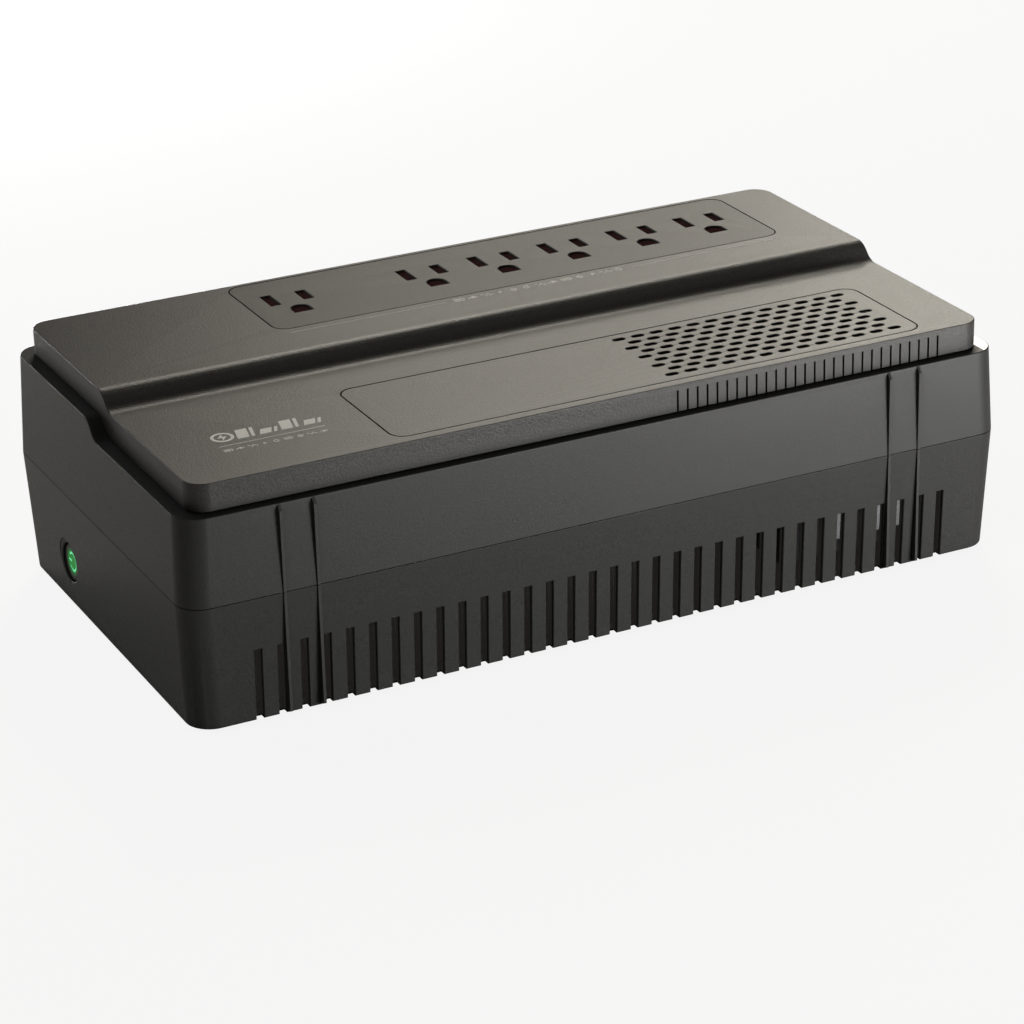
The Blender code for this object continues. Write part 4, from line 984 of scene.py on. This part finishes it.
def moulded_plastic(
    name, base, warmth, roughness, specular, grain=1.0, socket_depth=None, inside=False, painted_shade=CREASE_SHADE
):
    """Spark-eroded grain, slight mottling, rubbed edges and painted shade in the creases.

    Below socket_depth the colour is that of the receptacle wells, with a faint painted glow; inside adds a
    faint painted glow on the inner faces.
    """
    n = Nodes(name)
    fine = n.noise(1500.0, 2.0)
    pores = n.noise(3600.0, 1.0)
    broad = n.noise(9.0, 3.0)
    low, high = 1 - 0.22 * grain, 1 + 0.22 * grain
    speckle = n.ramp(fine, [(0.34, grey(base * low, warmth)), (0.66, grey(base * high, warmth))])
    tint = n.mix(n.range(broad, 0.3, 0.7, 0.0, 0.35), speckle, (*grey(base * 1.18, warmth), 1.0))
    edges = n.add("ShaderNodeNewGeometry").outputs["Pointiness"]
    worn = n.mix(n.range(edges, 0.53, 0.62, 0.0, 0.45), tint, (*grey(base * 2.0, warmth), 1.0))
    if socket_depth is not None:
        split = n.add("ShaderNodeSeparateXYZ")
        n.link(n.point, split.inputs["Vector"])
        deep = n.range(split.outputs["Z"], socket_depth - 0.0002, socket_depth, 1.0, 0.0)
        worn = n.mix(deep, worn, WELL_COLOUR)
        # Painted light: the deep faces of the wells glow faintly, standing in for light that reaches into
        # them.
        n.glow(deep, WELL_PAINTED_GLOW)
    # Painted shade: an occlusion node darkens the base colour in creases and gaps, and the same factor
    # makes them rougher.
    shade = n.add("ShaderNodeAmbientOcclusion", samples=6)
    shade.inputs["Distance"].default_value = CREASE_SHADE_REACH
    crease_shade_factor = n.range(shade.outputs["AO"], *painted_shade, 1.0)
    n.link(n.mix(1.0, worn, crease_shade_factor, "MULTIPLY"), n.shader.inputs["Base Color"])
    n.shader.inputs["Specular IOR Level"].default_value = specular
    rough = n.range(fine, 0.25, 0.75, roughness - 0.07, roughness + 0.09)
    rough = n.maths("ADD", rough, n.range(crease_shade_factor, 0.0, 1.0, 0.45, 0.0))
    if inside:
        rough = n.mix(polished_ledge(n), rough, (0.10, 0.10, 0.10, 1.0))
    n.link(rough, n.shader.inputs["Roughness"])
    n.bump([(broad, 0.04, 0.002), (fine, 0.30 * grain, 0.00014), (pores, 0.14 * grain, 0.00007)])
    if inside:
        add_inner_fill(n)
    return n.material


def polished_ledge(n):
    """One on the smooth strip of ledge beyond the cover's right end, zero elsewhere."""
    split = n.add("ShaderNodeSeparateXYZ")
    n.link(n.point, split.inputs["Vector"])
    beyond_cover = n.maths("GREATER_THAN", split.outputs["X"], (COVER_X - 0.5) * METRE)
    on_ledge = n.maths("GREATER_THAN", split.outputs["Z"], (RIM_LOW - 0.5) * METRE)
    return n.maths("MULTIPLY", beyond_cover, on_ledge)


def add_inner_fill(n):
    """Faint warm glow on the faces inside the case, for light that scatters in through the slots."""
    size = n.add("ShaderNodeVectorMath", operation="ABSOLUTE")
    n.link(n.point, size.inputs[0])
    split = n.add("ShaderNodeSeparateXYZ")
    n.link(size.outputs["Vector"], split.inputs["Vector"])
    from_seam = n.maths("ABSOLUTE", n.maths("SUBTRACT", split.outputs["Z"], SEAM_Z * METRE))
    reach = n.maths("ADD", split.outputs["Y"], n.maths("MULTIPLY", from_seam, LOWER_DRAFT))
    behind_wall = n.maths("LESS_THAN", reach, (SEAM_HALF_Y - 1.2) * METRE)
    behind_end = n.maths("LESS_THAN", split.outputs["X"], INNER_END_X)
    over_base = n.maths("GREATER_THAN", split.outputs["Z"], (BASE_Z + 0.6) * METRE)
    under_rim = n.maths("LESS_THAN", split.outputs["Z"], (SEAM_Z + 8.0) * METRE)
    mask = n.maths("MULTIPLY", behind_wall, behind_end)
    mask = n.maths("MULTIPLY", n.maths("MULTIPLY", mask, over_base), under_rim)
    n.glow(mask, INNER_PAINTED_GLOW)


def simple_material(
    name, colour, roughness, metallic=0.0, scale=900.0, bump=0.1, spread=0.15, stretch=None, inside=False
):
    """Material with noise in its colour, roughness and surface."""
    n = Nodes(name)
    noise = n.noise(scale, 3.0, stretch=stretch)
    dark = tuple(c * (1 - spread) for c in colour)
    light = tuple(min(1.0, c * (1 + spread)) for c in colour)
    n.link(n.ramp(noise, [(0.3, dark), (0.7, light)]), n.shader.inputs["Base Color"])
    rough = n.range(noise, 0.3, 0.7, roughness * 0.85, min(1.0, roughness * 1.15))
    n.link(rough, n.shader.inputs["Roughness"])
    n.shader.inputs["Metallic"].default_value = metallic
    n.bump([(noise, bump, 0.0001)])
    # With inside, the material glows faintly: painted light standing in for light that scatters in through
    # the slots.
    if inside:
        n.shader.inputs["Emission Color"].default_value = (*INNER_PAINTED_GLOW, 1.0)
        n.shader.inputs["Emission Strength"].default_value = 1.0
    return n.material


def glow_cap(name):
    """Button plastic with green light bleeding round the lit symbol."""
    n = Nodes(name)
    fine = n.noise(2600.0, 2.0)
    n.link(n.ramp(fine, [(0.3, grey(0.022)), (0.7, grey(0.029))]), n.shader.inputs["Base Color"])
    centre = n.add("ShaderNodeVectorMath", operation="SUBTRACT")
    n.link(n.point, centre.inputs[0])
    centre.inputs[1].default_value = (BUTTON_FACE_X * METRE, BUTTON_Y * METRE, BUTTON_Z * METRE)
    length = n.add("ShaderNodeVectorMath", operation="LENGTH")
    n.link(centre.outputs["Vector"], length.inputs[0])
    glow = n.range(length.outputs["Value"], 0.0034, 0.0054, 1.0, 0.0)
    n.glow(n.maths("POWER", glow, 1.5), (0.005, 0.180, 0.020))
    n.shader.inputs["Roughness"].default_value = 0.42
    n.shader.inputs["Specular IOR Level"].default_value = 0.3
    n.bump([(fine, 0.12, 0.0001)])
    return n.material


def lit_symbol(name):
    """Bright green light guide, a little uneven."""
    n = Nodes(name)
    fine = n.noise(900.0, 2.0)
    green = n.ramp(fine, [(0.3, (0.07, 0.55, 0.22)), (0.7, (0.15, 0.70, 0.38))])
    n.link(green, n.shader.inputs["Base Color"])
    n.link(green, n.shader.inputs["Emission Color"])
    n.shader.inputs["Emission Strength"].default_value = 0.95
    n.shader.inputs["Roughness"].default_value = 0.3
    n.bump([(fine, 0.05, 0.0001)])
    return n.material


def make_materials():
    """All materials of the visible pieces, by name."""
    return {
        "case": moulded_plastic(
            "case_plastic_look", 0.024, 0.0, 0.42, 0.30, 0.6, inside=True, painted_shade=CASE_CREASE_SHADE
        ),
        "cover": moulded_plastic(
            "cover_plastic_look", 0.028, 0.045, 0.37, 0.45, 1.7, painted_shade=COVER_CREASE_SHADE
        ),
        "panel": moulded_plastic(
            "panel_plastic_look", 0.025, 0.03, 0.42, 0.40, 1.5, (COVER_HIGH - 0.8) * METRE
        ),
        "cap": glow_cap("button_cap_look"),
        "symbol": lit_symbol("lit_symbol_look"),
        "print": simple_material("white_print_look", (0.84, 0.83, 0.81), 0.5, bump=0.05, spread=0.06),
        "rubber": simple_material("rubber_look", (0.012, 0.012, 0.012), 0.8, scale=1400.0, bump=0.3),
        "black": simple_material("black_plastic_look", (0.014, 0.014, 0.015), 0.4, scale=2000.0),
        "steel": simple_material(
            "steel_look", (0.50, 0.51, 0.53), 0.33, 1.0, 400.0, 0.1, 0.12, (1, 1, 14)
        ),
        "brass": simple_material("brass_look", (0.62, 0.44, 0.20), 0.35, 1.0, 500.0),
        "copper": simple_material(
            "copper_look", (0.45, 0.17, 0.07), 0.4, 0.9, 260.0, 0.6, 0.2, (1, 1, 12)
        ),
        "aluminium": simple_material(
            "aluminium_look", (0.62, 0.63, 0.65), 0.4, 1.0, 300.0, 0.15, 0.08, (1, 1, 9)
        ),
        "board": simple_material("board_look", (0.012, 0.085, 0.03), 0.4, scale=300.0, spread=0.3),
        "battery": simple_material(
            "battery_look", (0.060, 0.055, 0.055), 0.5, scale=1200.0, inside=True
        ),
        "varnished": simple_material(
            "varnished_steel_look", (0.045, 0.042, 0.045), 0.35, 0.6, 500.0, 0.1, 0.2, (1, 1, 14)
        ),
        "blue": simple_material("sleeve_look", (0.02, 0.06, 0.28), 0.3, scale=700.0),
        "red": simple_material("red_wire_look", (0.36, 0.015, 0.01), 0.4, scale=900.0),
        "foam": simple_material("foam_look", (0.02, 0.02, 0.022), 0.95, scale=700.0, bump=0.8),
    }


NODE_LOOKS = {
    "battery": "battery",
    "battery_lid": "black",
    "battery_pad": "foam",
    "battery_terminal": "steel",
    "battery_lead_red": "red",
    "battery_lead_black": "black",
    "transformer_core": "varnished",
    "transformer_bracket": "steel",
    "transformer_winding": "copper",
    "main_board": "board",
    "button_board": "board",
    "heat_sink": "aluminium",
    "capacitor": "blue",
    "relay": "blue",
    "fuse": "blue",
    "choke": "copper",
    "status_led": "symbol",
    "earth_strip": "brass",
    "line_strip": "brass",
    "neutral_strip": "brass",
    "breaker_nut": "steel",
    "rubber_foot": "rubber",
    "bracket_screw": "steel",
    "board_screw": "steel",
    "case_screw": "steel",
}


def dress_nodes(looks):
    """Gives every CAD node that stays visible its look, by the longest matching name."""
    for name, node in frame["nodes"].items():
        matches = [key for key in NODE_LOOKS if name.startswith(key)]
        look = NODE_LOOKS[max(matches, key=len)] if matches else "black"
        node.data.materials.clear()
        node.data.materials.append(looks[look])


# Stage


WARM = (1.06, 1.0, 0.875)
NEUTRAL = (1.0, 1.0, 0.99)
COOL = (1.0, 1.0, 0.97)

# Softboxes round the middle: (azimuth, elevation), size, power, colour
LAMPS = {
    "softbox_back_right": ((64, 24), 0.5, 1.8, WARM),
    "softbox_back_high": ((62, 43), 0.45, 7.6, WARM),
    "softbox_right": ((48, 24), 0.5, 4.4, WARM),
    "softbox_above_left": ((200, 62), 0.9, 1.8, WARM),
    "softbox_left": ((210, 40), 0.7, 2.6, NEUTRAL),
    "softbox_above_front": ((-43, 55), 1.2, 1.1, WARM),
    "softbox_back_left": ((118, 32), 1.0, 4.5, NEUTRAL),
}
LEDGE_LAMP = ((56.3, 20.2), 0.2, 0.9, WARM)
LEDGE_POINT = Vector((0.149, -0.035, 0.081))
LAMP_DISTANCE = 2.0
FLOOR_LIFT = 0.88

# Strips below the plane of the top: place, target, size, power, colour
LOW_LAMPS = {
    "strip_front_right": ((0.5, -0.75, 0.042), (0.25, -0.08, 0.042), (0.5, 0.08), 8.0, COOL),
    "strip_back": ((-0.05, 0.8, 0.042), (0.0, 0.08, 0.042), (0.6, 0.08), 5.0, COOL),
}
AIM = Vector((0.0, 0.0, 0.05))


def towards(azimuth, elevation):
    """Unit vector at an azimuth from +X and an elevation, both in degrees."""
    a, e = math.radians(azimuth), math.radians(elevation)
    return Vector((math.cos(a) * math.cos(e), math.sin(a) * math.cos(e), math.sin(e)))


def add_lamp(name, place, target, size, power, colour):
    data = bpy.data.lights.new(name, "AREA")
    data.shape = "RECTANGLE"
    data.size, data.size_y = size
    data.energy = power
    data.color = colour
    lamp = bpy.data.objects.new(name, data)
    lamp.location = place
    lamp.rotation_mode = "QUATERNION"
    lamp.rotation_quaternion = (Vector(target) - Vector(place)).to_track_quat("-Z", "Y")
    lamp.visible_camera = False
    bpy.context.scene.collection.objects.link(lamp)


def make_stage():
    """Pale floor, white surround for the eye, and the soft lamps."""
    bm = bmesh.new()
    bmesh.ops.create_grid(bm, x_segments=2, y_segments=2, size=6.0)
    mesh = bpy.data.meshes.new("floor")
    bm.to_mesh(mesh)
    bm.free()
    floor = bpy.data.objects.new("floor", mesh)
    bpy.context.scene.collection.objects.link(floor)
    n = Nodes("floor_look")
    n.shader.inputs["Base Color"].default_value = (0.90, 0.90, 0.90, 1.0)
    n.shader.inputs["Roughness"].default_value = 0.9
    n.shader.inputs["Specular IOR Level"].default_value = 0.1
    lift = n.add("ShaderNodeMixShader")
    bright = n.add("ShaderNodeEmission")
    bright.inputs["Strength"].default_value = 1.0
    seen = n.maths("MULTIPLY", n.add("ShaderNodeLightPath").outputs["Is Camera Ray"], FLOOR_LIFT)
    n.link(seen, lift.inputs[0])
    n.link(n.shader.outputs["BSDF"], lift.inputs[1])
    n.link(bright.outputs["Emission"], lift.inputs[2])
    n.link(lift.outputs["Shader"], n.tree.nodes["Material Output"].inputs["Surface"])
    mesh.materials.append(n.material)

    for name, (angles, size, power, colour) in LAMPS.items():
        add_lamp(name, AIM + LAMP_DISTANCE * towards(*angles), AIM, (size, size), power, colour)
    angles, size, power, colour = LEDGE_LAMP
    place = LEDGE_POINT + LAMP_DISTANCE * towards(*angles)
    add_lamp("ledge_glint", place, LEDGE_POINT, (size, size), power, colour)
    for name, (place, target, size, power, colour) in LOW_LAMPS.items():
        add_lamp(name, place, target, size, power, colour)

    world = bpy.data.worlds.new("studio")
    world.use_nodes = True
    tree = world.node_tree
    background = tree.nodes["Background"]
    background.inputs["Color"].default_value = (1, 1, 1, 1)
    seen = tree.nodes.new("ShaderNodeLightPath").outputs["Is Camera Ray"]
    tree.links.new(seen, background.inputs["Strength"])
    bpy.context.scene.world = world
    bpy.context.scene.view_settings.view_transform = "Standard"


CAMERA_AZIMUTH = math.radians(-25.995)
CAMERA_ELEVATION = math.radians(23.598)
CAMERA_ROLL = math.radians(-1.51)
CAMERA_TARGET = Vector((-0.03415, -0.0727, 0.052))
CAMERA_DISTANCE = 1.1266
CAMERA_LENS = 121.88


def make_camera():
    data = bpy.data.cameras.new("camera")
    data.lens = CAMERA_LENS
    data.sensor_width = 36.0
    camera = bpy.data.objects.new("camera", data)
    level = math.cos(CAMERA_ELEVATION)
    back = Vector(
        (math.sin(CAMERA_AZIMUTH) * level, -math.cos(CAMERA_AZIMUTH) * level, math.sin(CAMERA_ELEVATION))
    )
    camera.location = CAMERA_TARGET + back * CAMERA_DISTANCE
    camera.rotation_mode = "QUATERNION"
    turn = (-back).to_track_quat("-Z", "Y").to_matrix() @ Matrix.Rotation(CAMERA_ROLL, 3, "Z")
    camera.rotation_quaternion = turn.to_quaternion()
    bpy.context.scene.collection.objects.link(camera)
    bpy.context.scene.camera = camera


make_camera()
looks = make_materials()
dress_nodes(looks)
make_bottom_shell(looks["case"])
make_upper_housing(looks["case"])
make_top_cover(looks["cover"])
make_vent_panel(looks["cover"])
make_outlet_panel(looks["panel"])
make_button(looks["cap"], looks["symbol"])
make_feet(looks["rubber"])
make_gland(looks["black"])
make_breaker(looks["steel"], looks["black"])
make_prints(looks["print"])
make_stage()
